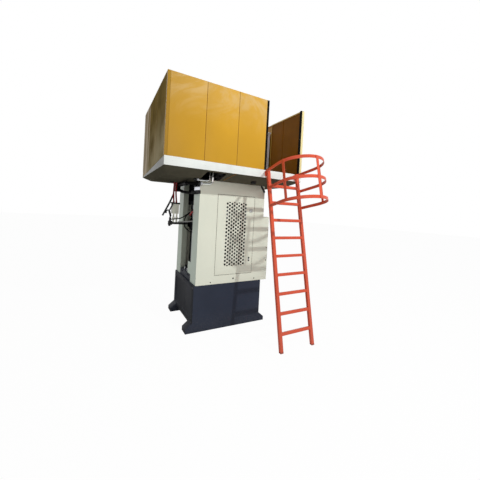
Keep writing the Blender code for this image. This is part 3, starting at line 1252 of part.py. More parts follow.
def make_pipes_and_hoses():
    """Two steel pipes that drop out of the platform, the hoses that go on from there along
    the front, the manifold under the soffit, and what hangs between it and the arm."""
    under_deck = FASCIA_TOP - DECK_PLATE - GAP
    pipe("pressure_pipe", [
        (PIPE_X, LOWER_PIPE_DROP_Y, under_deck), (PIPE_X, LOWER_PIPE_DROP_Y, LOWER_PIPE_HEIGHT),
        (PIPE_X, LOWER_PIPE_END_Y, LOWER_PIPE_HEIGHT - PIPE_FALL),
    ])
    pipe("branch_pipe", [
        (PIPE_X, UPPER_PIPE_DROP_Y, under_deck), (PIPE_X, UPPER_PIPE_DROP_Y, UPPER_PIPE_HEIGHT),
        (PIPE_X, UPPER_PIPE_END_Y, UPPER_PIPE_HEIGHT),
    ])
    manifold_near = MANIFOLD_X + MANIFOLD_WIDTH / 2
    hose_end = (manifold_near + GAP, MANIFOLD_Y)
    pipe_end = Vector((PIPE_X, LOWER_PIPE_END_Y, LOWER_PIPE_HEIGHT - PIPE_FALL))
    ahead = (pipe_end - Vector((PIPE_X, LOWER_PIPE_DROP_Y, LOWER_PIPE_HEIGHT))).normalized()
    route = square_ends(upper_hose_route(pipe_end + ahead * GAP, hose_end), ahead, (1, 0, 0), HOSE_RADIUS)
    tube("upper_hose", route, HOSE_RADIUS, "black_rubber")
    route = square_ends(lower_hose_route(hose_end), (-1, 0, 0), (1, 0, 0), HOSE_RADIUS)
    tube("lower_hose", route, HOSE_RADIUS, "black_rubber")
    make_manifold()
    make_front_arm()
    make_valve_box()
    for number, (top_y, foot_y) in enumerate(zip(RED_HOSE_TOPS, RED_HOSE_FEET), 1):
        x = BLOCK_MIDDLE_X + RED_HOSE_STAGGER * (2 * number - 3)
        top = Vector((x, top_y, SOFFIT_BOTTOM - GAP))
        bottom = Vector((x, foot_y, BLOCK_TOP + BLOCK_CAP + GAP))
        middle = (top + bottom) / 2 - Vector((0, RED_HOSE_BOW, 0))
        route = square_ends([top, middle, bottom], (0, 0, -1), (0, 0, 1), RED_HOSE_RADIUS)
        tube("red_hose_%d" % number, route, RED_HOSE_RADIUS, "red_rubber")
    near = NEAR_OPENING_EDGE - GAP
    route = [
        (ARM_X + SENSOR_RADIUS + GAP, SENSOR_Y, (SENSOR_BOTTOM + SENSOR_TOP) / 2), *SENSOR_CABLE_PATH,
        (near, CABLE_END_Y, SENSOR_CABLE_END),
    ]
    route = square_ends(route, (1, 0, 0), (-1, 0, 0), CABLE_RADIUS)
    tube("sensor_cable", route, CABLE_RADIUS, "black_rubber")
    loop_y = CABLE_END_Y + LOOP_SET_BACK
    route = square_ends([(near, loop_y, LOOP_TOP), *LOOP_PATH, (near, loop_y, LOOP_BOTTOM)],
                        (-1, 0, 0), (-1, 0, 0), CABLE_RADIUS)
    tube("loop_cable", route, CABLE_RADIUS, "black_rubber")


def upper_hose_route(start, hose_end):
    """From the pressure pipe round the corner of the press and along its front."""
    turn = [start]
    for out, forward in HOSE_TURN_SHARES:
        turn.append(start + Vector((-out, -forward, 0)) * HOSE_TURN)
    return turn + [*UPPER_HOSE_PATH, (*hose_end, UPPER_HOSE_END)]


def lower_hose_route(hose_end):
    """From the duct on the near upright to the manifold."""
    return [(DUCT_FAR - GAP, -DUCT_PROUD / 2, (DUCT_BOTTOM + DUCT_TOP) / 2), *LOWER_HOSE_PATH,
            (*hose_end, LOWER_HOSE_END)]


def slanted_rod(name, radius, start, end, finish=None):
    """Round bar between two points."""
    start = Vector(start)
    line = Vector(end) - start
    bar = rod(name, radius, 0, line.length, (0, 0, 0), finish, sides=ROUND_SIDES // 2)
    turn = Vector((0, 0, 1)).rotation_difference(line).to_matrix().to_4x4()
    bar.data.transform(Matrix.Translation(start) @ turn)
    return bar


def make_manifold():
    """Distribution block bolted under the soffit, with the guide rod for the probe."""
    block = box(
        "hose_manifold",
        (MANIFOLD_X - MANIFOLD_WIDTH / 2, MANIFOLD_Y - MANIFOLD_DEPTH / 2, MANIFOLD_BOTTOM),
        (MANIFOLD_X + MANIFOLD_WIDTH / 2, MANIFOLD_Y + MANIFOLD_DEPTH / 2, SOFFIT_BOTTOM - GAP), "black_steel",
    )
    top = (MANIFOLD_X, MANIFOLD_Y - MANIFOLD_DEPTH / 4, (MANIFOLD_BOTTOM + SOFFIT_BOTTOM) / 2)
    fuse(block, slanted_rod("probe_rod", PROBE_ROD_RADIUS, top, PROBE_MIDDLE))
    lap = Vector(PROBE_MIDDLE).lerp(Vector(top), PROBE_LAP_SHARE)
    fuse(block, slanted_rod("probe", PROBE_RADIUS, lap, PROBE_END))


def make_front_arm():
    """Arm on the inner flange of the far upright, with a foot and the sensor on its post."""
    left = ARM_X - ARM_WIDTH / 2
    right = ARM_X + ARM_WIDTH / 2
    arm = box("front_arm", (left, -ARM_FRONT, ARM_BOTTOM), (right, ARM_REAR, ARM_BOTTOM + ARM_HEIGHT), "black_steel")
    foot = box("arm_foot", (left, -ARM_FRONT, ARM_BOTTOM - ARM_FOOT),
               (right, ARM_FOOT_LENGTH - ARM_FRONT, ARM_BOTTOM + ARM_HEIGHT / 2))
    fuse(arm, foot)
    sensor = turned("sensor", [
        (0, ARM_BOTTOM + ARM_HEIGHT / 2), (SENSOR_STEM, ARM_BOTTOM + ARM_HEIGHT / 2), (SENSOR_STEM, SENSOR_BOTTOM),
        (SENSOR_RADIUS, SENSOR_BOTTOM), (SENSOR_RADIUS, SENSOR_TOP - SENSOR_RADIUS / 2),
        (SENSOR_RADIUS / 2, SENSOR_TOP), (0, SENSOR_TOP),
    ], (ARM_X, SENSOR_Y, 0), sides=ROUND_SIDES // 2)
    fuse(arm, sensor)


def make_valve_box():
    """Small valve box that stands on the arm on two unions."""
    middle = BLOCK_MIDDLE_X
    valve = box(
        "valve_box", (middle - BLOCK_WIDTH / 2, -BLOCK_FRONT, BLOCK_BOTTOM),
        (middle + BLOCK_WIDTH / 2, BLOCK_DEPTH - BLOCK_FRONT, BLOCK_TOP), "cream_paint",
    )
    cap = box(
        "valve_cap", (middle - BLOCK_WIDTH / 2 - BLOCK_CAP_LAP, -BLOCK_FRONT - BLOCK_CAP_LAP, BLOCK_TOP - BLOCK_CAP / 4),
        (middle + BLOCK_WIDTH / 2 + BLOCK_CAP_LAP, BLOCK_DEPTH - BLOCK_FRONT + BLOCK_CAP_LAP, BLOCK_TOP + BLOCK_CAP),
    )
    fuse(valve, cap)
    arm_top = ARM_BOTTOM + ARM_HEIGHT + GAP
    stems = []
    for y in (BLOCK_MIDDLE_Y - BLOCK_DEPTH / 4, BLOCK_MIDDLE_Y + BLOCK_DEPTH / 4):
        union = (arm_top + BLOCK_BOTTOM) / 2
        stems.append(turned("valve_stem", [
            (0, arm_top), (BLOCK_STEM_RADIUS, arm_top), (BLOCK_STEM_RADIUS, union - BLOCK_UNION_HEIGHT / 2),
            (BLOCK_UNION_RADIUS, union - BLOCK_UNION_HEIGHT / 2), (BLOCK_UNION_RADIUS, union + BLOCK_UNION_HEIGHT / 2),
            (BLOCK_STEM_RADIUS, union + BLOCK_UNION_HEIGHT / 2), (BLOCK_STEM_RADIUS, BLOCK_BOTTOM + BLOCK_CAP),
            (0, BLOCK_BOTTOM + BLOCK_CAP),
        ], (ARM_X, y, 0), sides=ROUND_SIDES // 2))
    fuse(valve, *stems)


def on_ladder(along, out):
    """Point on the ladder's middle plane: along the rails from the floor, and out from
    their front face."""
    foot = Vector((LADDER_FOOT_FACE, 0, 0))
    return foot + ALONG_LADDER * along + OUT_OF_LADDER * out


def make_ladder():
    """Two leaning rails with nine rungs let into them."""
    outline = [
        (LADDER_FOOT_FACE, 0), (LADDER_TOP_FACE, LADDER_TOP), (LADDER_TOP_FACE - RAIL_DEPTH_LEVEL, LADDER_TOP),
        (LADDER_FOOT_FACE - RAIL_DEPTH_LEVEL, 0),
    ]
    far_edge = LADDER_NEAR_EDGE + LADDER_WIDTH
    ladder = prism("ladder_frame", outline, "Y", LADDER_NEAR_EDGE, LADDER_NEAR_EDGE + RAIL_WIDTH, "orange_paint")
    rungs = []
    for number in range(RUNG_COUNT):
        along = FIRST_RUNG + number * RUNG_SPACING
        section = []
        for up, out in ((-0.5, 0), (0.5, 0), (0.5, 1), (-0.5, 1)):
            point = on_ladder(along + up * RUNG_HEIGHT, -RUNG_SET_BACK - out * RUNG_DEPTH)
            section.append((point.x, point.z))
        start = LADDER_NEAR_EDGE + RAIL_WIDTH - RUNG_BITE
        rungs.append(prism("rung", section, "Y", start, far_edge - RAIL_WIDTH + RUNG_BITE))
    fuse(ladder, *rungs)
    fuse(ladder, prism("far_rail", outline, "Y", far_edge - RAIL_WIDTH, far_edge))


def hoop_path():
    """Middle line of one hoop's flat bar, as (out, y) points from one rail to the other."""
    foot_y = LADDER_WIDTH / 2 + GAP + HOOP_THICK / 2
    leg_y = HOOP_HALF_WIDTH - HOOP_THICK / 2
    centre = HOOP_REACH - HOOP_HALF_WIDTH
    half = [(-RAIL_DEPTH + HOOP_THICK, foot_y), (0, foot_y), (HOOP_FLARE, leg_y)]
    steps = HOOP_STEPS
    for k in range(steps + 1):
        angle = math.pi / 2 * (1 - k / steps)
        half.append((centre + leg_y * math.cos(angle), leg_y * math.sin(angle)))
    other = [(out, -y) for out, y in reversed(half[:-1])]
    return [(out, LADDER_MIDDLE_Y + y) for out, y in half + other]


def make_hoop(name, along, finish=None):
    """Flat bar bent along the hoop's path, its width along the rails."""
    path = [Vector(p) for p in hoop_path()]
    bm = bmesh.new()
    rings = []
    for i, point in enumerate(path):
        before = path[max(i - 1, 0)]
        after = path[min(i + 1, len(path) - 1)]
        into = (point - before).normalized() if i else (after - point).normalized()
        leave = (after - point).normalized() if i < len(path) - 1 else into
        tangent = (into + leave).normalized()
        normal = Vector((-tangent.y, tangent.x))
        stretch = 1 / max(normal.dot(Vector((-into.y, into.x))), 0.5)
        ring = []
        for across, up in ((-0.5, -0.5), (0.5, -0.5), (0.5, 0.5), (-0.5, 0.5)):
            flat = point + normal * (across * HOOP_THICK * stretch)
            place = on_ladder(along + up * HOOP_BAR, flat.x)
            ring.append(bm.verts.new((place.x, flat.y, place.z)))
        rings.append(ring)
    for one, other in zip(rings, rings[1:]):
        for i in range(4):
            j = (i + 1) % 4
            bm.faces.new([one[i], one[j], other[j], other[i]])
    bm.faces.new(rings[0])
    bm.faces.new(rings[-1])
    return from_bmesh(name, bm, finish)


def strap(name, turn):
    """Flat strap along the outside of the hoops, from the lowest to the highest, at an angle
    from the middle one. It lies on the hoop's outermost facet there."""
    low = LADDER_LENGTH - HOOP_FROM_TOP - (HOOP_COUNT - 1) * HOOP_SPACING - HOOP_BAR / 2
    high = LADDER_LENGTH - HOOP_FROM_TOP + HOOP_BAR / 2
    across = Vector((-math.sin(turn), math.cos(turn)))
    outward = Vector((math.cos(turn), math.sin(turn)))
    out, y = Vector((HOOP_REACH - HOOP_HALF_WIDTH, LADDER_MIDDLE_Y)) + outward * HOOP_HALF_WIDTH
    bm = bmesh.new()
    rings = []
    for along in (low + STRAP_SHORT, high - STRAP_SHORT):
        ring = []
        for a, b in ((-0.5, 0), (0.5, 0), (0.5, 1), (-0.5, 1)):
            flat = Vector((out, y)) + across * (a * STRAP_WIDTH) + outward * (b * STRAP_THICK - STRAP_BITE)
            place = on_ladder(along, flat.x)
            ring.append(bm.verts.new((place.x, flat.y, place.z)))
        rings.append(ring)
    for i in range(4):
        j = (i + 1) % 4
        bm.faces.new([rings[0][i], rings[0][j], rings[1][j], rings[1][i]])
    bm.faces.new(rings[0])
    bm.faces.new(rings[1])
    return from_bmesh(name, bm)


def make_cage():
    """Three hoops joined by three straps."""
    highest = LADDER_LENGTH - HOOP_FROM_TOP
    cage = make_hoop("ladder_cage", highest, "orange_paint")
    side_turn = math.pi / 2 * STRAP_TURN_SHARE
    straps = [
        strap("middle_strap", 0), strap("front_strap", -side_turn), strap("rear_strap", side_turn),
    ]
    fuse(cage, *straps)
    others = [make_hoop("hoop", highest - k * HOOP_SPACING) for k in range(1, HOOP_COUNT)]
    fuse(cage, *others)


def make_origin():
    """Empty that carries every piece and centres the whole outline on the world origin."""
    hoop_axis = ALONG_LADDER * (LADDER_LENGTH - HOOP_FROM_TOP - (HOOP_COUNT - 1) * HOOP_SPACING)
    low_hoop = Vector((LADDER_FOOT_FACE, 0, 0)) + hoop_axis
    reach = low_hoop + OUT_OF_LADDER * (HOOP_REACH + STRAP_THICK - STRAP_BITE)
    furthest = reach + ALONG_LADDER * (STRAP_SHORT - HOOP_BAR / 2)
    near = max(LADDER_FOOT_FACE, furthest.x)
    empty = bpy.data.objects.new("press_origin", None)
    bpy.context.scene.collection.objects.link(empty)
    empty.location = ((DECK_FAR - near) / 2, (-FRONT_WALL_FACE - DECK_REAR) / 2, 0)
    return empty


def main():
    global ORIGIN
    clear_scene()
    ORIGIN = make_origin()
    make_base()
    make_bolster()
    make_columns()
    make_crown()
    make_cylinder()
    make_slide()
    make_ejector()
    make_near_upright()
    make_upright("far_upright", FAR_OPENING_EDGE, -1)
    make_side_panels()
    make_door()
    make_vent_grille()
    make_lock("upper_door_lock", LOCK_UPPER)
    make_lock("lower_door_lock", LOCK_LOWER)
    make_rear_covers()
    make_soffit()
    make_fascia()
    make_deck()
    make_walls()
    make_rear_wall()
    make_posts()
    make_power_unit()
    make_pipes_and_hoses()
    make_ladder()
    make_cage()


main()
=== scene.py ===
"""Dress the hydraulic press: camera, light and stage, painted and metal finishes, and the
small pieces that the solids leave out.

Metres. The frame's solids are laid out in the row frame. The numbers below that come from
the press itself are in the press frame, and press() turns them into the row frame.
"""

import json
import math

import bmesh
import bpy
from bpy.props import FloatProperty, FloatVectorProperty, IntProperty, PointerProperty
from mathutils import Matrix, Vector


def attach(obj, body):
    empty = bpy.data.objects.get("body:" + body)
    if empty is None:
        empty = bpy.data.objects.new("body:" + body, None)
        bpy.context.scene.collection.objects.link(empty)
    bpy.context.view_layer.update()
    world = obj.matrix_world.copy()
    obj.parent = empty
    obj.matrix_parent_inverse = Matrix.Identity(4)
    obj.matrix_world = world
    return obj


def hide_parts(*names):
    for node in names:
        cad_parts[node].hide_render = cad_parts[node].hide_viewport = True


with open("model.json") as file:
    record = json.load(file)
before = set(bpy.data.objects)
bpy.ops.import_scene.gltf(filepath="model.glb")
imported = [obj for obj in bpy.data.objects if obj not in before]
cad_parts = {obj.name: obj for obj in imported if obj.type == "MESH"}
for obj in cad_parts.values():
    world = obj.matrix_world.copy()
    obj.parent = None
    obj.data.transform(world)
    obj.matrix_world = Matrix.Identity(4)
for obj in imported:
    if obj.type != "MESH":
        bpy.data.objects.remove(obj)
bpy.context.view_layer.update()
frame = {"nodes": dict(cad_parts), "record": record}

bl_info = {
    "name": "Hydraulic press dressing",
    "version": (1, 0, 0),
    "blender": (4, 5, 0),
    "location": "3D View > Sidebar > Press",
    "description": "Finishes and details for the hydraulic press",
    "category": "Object",
}

# The press frame's origin in the row frame
SHIFT = Vector((-0.4408102, -0.4560000, 0))

# Sizes that the solids have too
HALF_WIDTH = 0.516
DECK_NEAR = 0.909
WALL_BOTTOM = 2.4045
WALL_TOP = 3.406
DOOR_OPENING = (0.2895, 0.9315, 0.8115, 2.0225)   # Y, Y, Z, Z
LOCK_Y = 0.871
VENT_LOW = (0.5137, 0.4330, 0.9400)               # corners of the opening that shows the vent
VENT_HIGH = (0.5137, 0.7920, 1.9200)
VENT_EDGES = (0.3732, 0.8518, 0.8856, 1.9744)     # Y, Y, Z, Z
VENT_SHEET = 0.0015
VENT_CELL_SHAPE = 1.365                           # height of a cell to its width
PIPE_X = 0.566
PIPE_YS = (0.120, 0.168)
MOTOR_X = -0.560
MOTOR_Z = 2.5633
LADDER_RUN = 0.503
LADDER_RISE = 2.403
LADDER_FOOT = 1.45112
RAIL_YS = (0.872, 1.408)
FIRST_RUNG = 0.227
RUNG_PITCH = 0.25
HOOP_PITCH = 0.260

# Screws of a side sheet, Y and Z. The one at PLUG_Y is a wide plug.
SIDE_SCREWS = ((0.233, 0.712), (0.608, 0.743), (0.989, 0.716), (1.204, 1.204), (1.204, 0.999))
PLUG_Y = 0.608

# Nodes whose edges are rounded, by the radius
WALLS = [side + "_wall_panel_" + number for side in ("near", "front", "rear") for number in "123"]
SOFTENED = {
    0.0006: ["side_door"],
    0.0008: ["near_side_panel"],
    0.001: ["ladder_cage"],
    0.002: ["bolster", "far_wall_panel_1", "far_wall_panel_2", *WALLS],
    0.003: ["fascia", "front_near_post", "front_far_post", "rear_near_post", "rear_far_post", "ladder_frame",
            "valve_box"],
    0.004: ["base_frame"],
}


def press(x, y, z):
    """Press frame to row frame."""
    return Vector((x, y, z)) + SHIFT


# --- Materials -------------------------------------------------------------------------


class Tree:
    """Adds nodes to the tree of one material or world."""

    def __init__(self, owner):
        owner.use_nodes = True
        self.tree = owner.node_tree
        self.tree.nodes.clear()

    def add(self, kind, settings=None, inputs=None, output=0):
        """One node of the kind, with its settings, then its input values or links."""
        node = self.tree.nodes.new(kind)
        for key, value in (settings or {}).items():
            setattr(node, key, value)
        for key, value in (inputs or {}).items():
            socket = node.inputs[key]
            if isinstance(value, Value):
                self.tree.links.new(value.socket, socket)
            elif value is not None:
                socket.default_value = (*value, 1) if socket.type == "RGBA" else value
        return Value(self, node.outputs[output]) if node.outputs else None

    def math(self, operation, *items, clamp=False):
        return self.add("ShaderNodeMath", {"operation": operation, "use_clamp": clamp}, dict(enumerate(items)))

    def object_space(self):
        return self.add("ShaderNodeTexCoord", output="Object")

    def split(self, vector):
        """X, Y and Z of a vector, as three values."""
        parts = self.add("ShaderNodeSeparateXYZ", None, {0: vector})
        return [Value(self, output) for output in parts.socket.node.outputs]

    def facing(self):
        """X, Y and Z of the direction that the surface faces, in object space."""
        return self.split(self.add("ShaderNodeTexCoord", output="Normal"))

    def stretched(self, scale):
        """Object coordinates scaled by a different amount along each axis."""
        return self.add("ShaderNodeMapping", None, {"Vector": self.object_space(), "Scale": scale})

    def noise(self, scale, detail=3, roughness=0.5, vector=None, distortion=0):
        inputs = {"Vector": vector or self.object_space(), "Scale": scale, "Detail": detail,
                  "Roughness": roughness, "Distortion": distortion}
        return self.add("ShaderNodeTexNoise", None, inputs)

    def mix(self, factor, one, other):
        """Colour between two colours."""
        return self.add("ShaderNodeMix", {"data_type": "RGBA"}, {0: factor, 6: one, 7: other}, output=2)

    def bump(self, height, strength, distance, normal=None):
        inputs = {"Height": height, "Strength": strength, "Distance": distance, "Normal": normal}
        return self.add("ShaderNodeBump", None, inputs)

    def finish(self, **inputs):
        """Principled shader with its values or links, joined to the output."""
        inputs = {key.replace("_", " "): value for key, value in inputs.items()}
        shader = self.add("ShaderNodeBsdfPrincipled", None, inputs)
        self.add("ShaderNodeOutputMaterial", None, {"Surface": shader})


class Value:
    """Output socket of a node, with arithmetic."""

    def __init__(self, tree, socket):
        self.tree = tree
        self.socket = socket

    def __add__(self, other):
        return self.tree.math("ADD", self, other)

    def __radd__(self, other):
        return self.tree.math("ADD", other, self)

    def __sub__(self, other):
        return self.tree.math("SUBTRACT", self, other)

    def __rsub__(self, other):
        return self.tree.math("SUBTRACT", other, self)

    def __mul__(self, other):
        return self.tree.math("MULTIPLY", self, other)

    def __rmul__(self, other):
        return self.tree.math("MULTIPLY", other, self)

    def clamp(self):
        return self.tree.math("ADD", self, 0.0, clamp=True)

    def between(self, low, high):
        """0 below low, 1 above high, smooth in between."""
        return self.tree.add("ShaderNodeMapRange", {"interpolation_type": "SMOOTHSTEP"},
                             {"Value": self, "From Min": low, "From Max": high, "To Min": 0.0, "To Max": 1.0})


def material(name):
    return bpy.data.materials.get(name) or bpy.data.materials.new(name)


def srgb(red, green, blue):
    """Colour on a screen, 0 to 255, as linear values."""
    linear = []
    for part in (red, green, blue):
        part /= 255
        linear.append(part / 12.92 if part <= 0.04045 else ((part + 0.055) / 1.055) ** 2.4)
    return tuple(linear)


def shade(colour, factor):
    return tuple(min(1, part * factor) for part in colour)


DUST = (0.30, 0.27, 0.22)
DUST_TOP = 0.35
# Painted sheen: a paler ochre painted high on the near walls for the glow of light there
PAINTED_SHEEN_OCHRE = srgb(206, 172, 116)
# Painted reflections on the shaded front wall: pale tall streaks and a pale haze low down
FRONT_GLARE = (0.74, 0.62, 0.48)
PAINTED_LOW_REFLECTION = (0.46, 0.40, 0.26)
# Painted shade on faces turned to +X, inside the uprights
INNER_SHADE = srgb(120, 118, 104)


def paint(name, colour, roughness=0.42, dust=0.0, streaks=0.06, peel=0.05, mottle=0.07, waves=0.0, specular=0.5,
          wipes=0.0, bands=0.0, shaded_front=0.0, shaded_side=0.0):
    """Sprayed machine paint: slightly uneven colour, runs of grime, painted shade towards the front end of a wall and
    a painted sheen high on it, painted reflections, painted shade on front faces and on faces turned to +X, dust near
    the floor and the fine dimples of the spray."""
    colour = srgb(*colour)
    made = material(name)
    t = Tree(made)
    across, along, height = t.split(t.object_space())
    broad = t.noise(1.7, detail=4, roughness=0.55)
    runs = t.noise(1.0, detail=5, roughness=0.65, vector=t.stretched((7.0, 7.0, 0.8)))
    base = t.mix(broad.between(0.30, 0.70), shade(colour, 1 - mottle), shade(colour, 1 + mottle))
    base = t.mix(runs.between(0.50, 0.80) * streaks, base, shade(colour, 0.45))
    rough = roughness + (broad - 0.5) * 0.12 + runs.between(0.5, 0.8) * 0.08
    if wipes:
        sheen_swirl = t.noise(1.6, detail=4, roughness=0.60, distortion=2.5)
        # Painted shade: the wall darker towards its front end
        base = t.mix((1 - along.between(-1.06, -0.15)) * wipes, base, shade(colour, 0.66))
        # Painted sheen: paler ochre high on the wall, for the glow of light near its top
        upper = height.between(2.80, 3.40) * (0.4 + sheen_swirl.between(0.40, 0.62)) * wipes
        base = t.mix(upper.clamp(), base, PAINTED_SHEEN_OCHRE)
    if bands:
        # Painted reflections: a pale haze low down and pale tall streaks towards the far end
        tall = t.noise(1.0, detail=4, roughness=0.6, vector=t.stretched((11.0, 11.0, 0.5)))
        low = 1 - height.between(2.35, 3.15)
        base = t.mix(low * broad.between(0.25, 0.6) * bands, base, PAINTED_LOW_REFLECTION)
        base = t.mix(tall.between(0.45, 0.56) * (1 - across.between(-0.80, -0.62)) * bands, base, FRONT_GLARE)
    if shaded_front:
        # Painted shade on faces turned to the front (-Y)
        forward = 0 - t.facing()[1]
        dim = forward.between(0.5, 0.9) * broad.between(0.1, 0.5) * shaded_front
        base = t.mix(dim, base, shade(colour, 0.28))
    if shaded_side:
        # Painted shade on faces turned to +X
        base = t.mix(t.facing()[0].between(0.5, 0.9) * shaded_side, base, INNER_SHADE)
    if dust:
        specks = t.noise(60, detail=4, roughness=0.7)
        grime = (1 - height.between(0.0, DUST_TOP)) * specks.between(0.35, 0.75) * dust
        base = t.mix(grime.clamp(), base, DUST)
        rough = rough + grime * 0.3
    normal = t.bump(t.noise(420, detail=2), peel, 0.0004)
    if waves:
        normal = t.bump(t.noise(2.2, detail=1, roughness=0.3), waves, 0.02, normal)
    t.finish(Base_Color=base, Roughness=rough.clamp(), Normal=normal, Specular_IOR_Level=specular)
    return made


def bare_metal(name, colour, roughness=0.3, grain=(1, 1, 60), wear=0.1):
    """Ground or drawn steel with fine lines along the grain."""
    made = material(name)
    t = Tree(made)
    lines = t.noise(6.0, detail=5, roughness=0.7, vector=t.stretched(grain))
    cloud = t.noise(5.0)
    base = t.mix(cloud.between(0.35, 0.7) * wear, colour, shade(colour, 0.55))
    rough = roughness + (lines - 0.5) * 0.25 + (cloud - 0.5) * 0.1
    t.finish(Base_Color=base, Roughness=rough.clamp(), Metallic=1.0, Normal=t.bump(lines, 0.08, 0.0004))
    return made


def rubber(name, colour, roughness=0.55):
    """Hose or cable jacket with a slight bloom."""
    colour = srgb(*colour)
    made = material(name)
    t = Tree(made)
    cloud = t.noise(30, detail=4)
    base = t.mix(cloud.between(0.35, 0.8) * 0.5, colour, tuple(part * 1.5 + 0.004 for part in colour))
    rough = roughness + (cloud - 0.5) * 0.25
    normal = t.bump(t.noise(260), 0.15, 0.0006)
    t.finish(Base_Color=base, Roughness=rough.clamp(), Normal=normal, Specular_IOR_Level=0.05)
    return made


def look(red, green, blue, **options):
    """A finish's colour, and what isn't usual for its kind."""
    return (red, green, blue), options


# Finishes by how they are made and the record's slot. Paint and rubber have screen colours.
FINISH_TABLE = {
    (paint, "cream_powder_paint"): {
        "cream": look(222, 223, 208, roughness=0.40, streaks=0.04, mottle=0.02, specular=0.35),
        # Greener copy of the cream for the cast of the shaded front faces, with painted shade on faces turned to +X
        "cream_front": look(214, 226, 212, roughness=0.34, streaks=0.05, mottle=0.03, specular=0.35, shaded_side=0.6),
        "cream_bright": look(240, 240, 224, roughness=0.4, streaks=0.05, mottle=0.02),
        "post_cream": look(224, 206, 152, roughness=0.4, streaks=0.05, mottle=0.03, specular=0.3),
    },
    (paint, "navy_blue_machine_paint"): {
        "navy": look(44, 49, 63, roughness=0.45, dust=0.10, streaks=0.0, mottle=0.10, specular=0.14,
                     shaded_front=1.0),
        "navy_inside": look(48, 52, 62, roughness=0.45, streaks=0.1, mottle=0.1, specular=0.25),
        "navy_dark": look(26, 27, 32, roughness=0.6, mottle=0.1, specular=0.1),
    },
    (paint, "glossy_ochre_paint"): {
        # Near walls: a painted sheen high up and painted shade towards their front end
        "ochre": look(201, 150, 38, roughness=0.40, streaks=0.05, mottle=0.045, waves=0.10, specular=0.30, wipes=0.5),
        # Darker copy of the ochre for the front wall in shade, with painted reflections
        "ochre_front": look(128, 108, 62, roughness=0.30, streaks=0.55, mottle=0.30, waves=0.35, specular=0.0,
                            bands=0.8),
        "ochre_rear": look(200, 146, 44, roughness=0.32, streaks=0.10, mottle=0.08, waves=0.2, specular=0.30),
        # Darker copy of the ochre for the inner walls of the doorway, in painted shade
        "ochre_inside": look(136, 88, 24, roughness=0.22, streaks=0.30, mottle=0.12, waves=0.2, specular=0.04),
        "ochre_seam": look(128, 88, 28, roughness=0.6, specular=0.2),
    },
    (paint, "glossy_light_ochre_paint"): {
        "ochre_light": look(208, 168, 74, roughness=0.32, specular=0.3),
        "ochre_post": look(162, 123, 44, roughness=0.36, specular=0.15),
    },
    (paint, "off_white_paint"): {
        "off_white": look(228, 230, 227, streaks=0.20, specular=0.25, shaded_front=0.85),
    },
    (paint, "dark_olive_paint"): {
        "soffit": look(84, 80, 68, roughness=0.60, streaks=0.0, mottle=0.18, specular=0.0),
    },
    (paint, "orange_red_paint"): {
        "orange": look(208, 82, 54, roughness=0.38, dust=0.15, streaks=0.04, mottle=0.06, specular=0.35),
        "orange_dark": look(150, 58, 42, roughness=0.55, dust=0.3),
    },
    (paint, "grey_paint"): {
        "grey": look(150, 150, 152, roughness=0.45),
        "pale_grey": look(222, 223, 226, roughness=0.40, streaks=0.25, mottle=0.10),
        "dark_grey": look(70, 72, 76, roughness=0.50),
        "glass_tube": look(190, 150, 70, roughness=0.12, peel=0.0),
    },
    (paint, "black_paint"): {
        "black": look(22, 22, 24, roughness=0.45, streaks=0.0, specular=0.3),
        # Near black standing in for shade at the back of the work area and in the opening
        "dark_inside": look(30, 28, 26, roughness=0.7, specular=0.15),
    },
    (paint, "perforated_sheet_painted"): {"vent": look(222, 222, 208, roughness=0.45, specular=0.3)},
    (paint, "dark_red_rubber"): {"red_fitting": look(146, 38, 42, roughness=0.40)},
    (rubber, "dark_red_rubber"): {"red_rubber": look(134, 34, 34, roughness=0.45)},
    (rubber, "black_rubber"): {
        "rubber": look(10, 10, 11),
        "seam": look(96, 92, 82, roughness=0.8),
        "grey_lead": look(150, 150, 148, roughness=0.5),
    },
    (bare_metal, "ground_and_chromed_steel"): {"column": look(0.46, 0.47, 0.49, roughness=0.18, grain=(1, 1, 40))},
    (bare_metal, "machined_steel"): {
        "machined": look(0.45, 0.46, 0.48, roughness=0.34),
        "dark_steel": look(0.12, 0.12, 0.13, roughness=0.45),
    },
    (bare_metal, "bright_steel_pipe"): {
        "pipe": look(0.74, 0.75, 0.74, roughness=0.20),
        # Mirror-bright bluish plate standing in for a reflection on the upright's top strip
        "bright_plate": look(0.66, 0.68, 0.74, roughness=0.14, wear=0.05),
    },
}
SLOTS = {name: slot for (maker, slot), group in FINISH_TABLE.items() for name in group}
FINISHES = {}

# Solids by their finish
FINISHED_NODES = {
    "navy": ["base_frame"],
    "navy_inside": ["bolster"],
    "navy_dark": ["crown", "slide"],
    "grey": ["main_cylinder", "ejector_cylinder"],
    "dark_grey": ["deck_plate", "pump_motor"],
    "pale_grey": ["oil_tank"],
    "cream": ["near_side_panel", "far_side_panel", "rear_cover", "side_door"],
    "cream_front": ["near_upright", "far_upright"],
    "cream_bright": ["valve_box"],
    "post_cream": ["rear_near_post"],
    "vent": ["vent_grille"],
    "soffit": ["soffit"],
    "off_white": ["fascia"],
    "ochre": ["near_wall_panel"],
    "ochre_post": ["front_near_post"],
    "ochre_front": ["front_far_post", "front_wall_panel"],
    "ochre_rear": ["rear_far_post", "far_wall_panel", "rear_wall_panel"],
    "orange": ["ladder_frame", "ladder_cage"],
    "black": ["front_arm", "hose_manifold"],
    "rubber": ["near_jamb_seal", "rear_jamb_seal", "upper_hose", "lower_hose", "sensor_cable", "loop_cable"],
    "red_rubber": ["red_hose"],
    "pipe": ["pressure_pipe", "branch_pipe"],
    "machined": ["upper_door_lock", "lower_door_lock", "front_near_column_nut", "front_far_column_nut",
                 "rear_near_column_nut", "rear_far_column_nut"],
    "column": ["ram", "ejector_rod", "front_near_column", "front_far_column", "rear_near_column",
               "rear_far_column"],
}


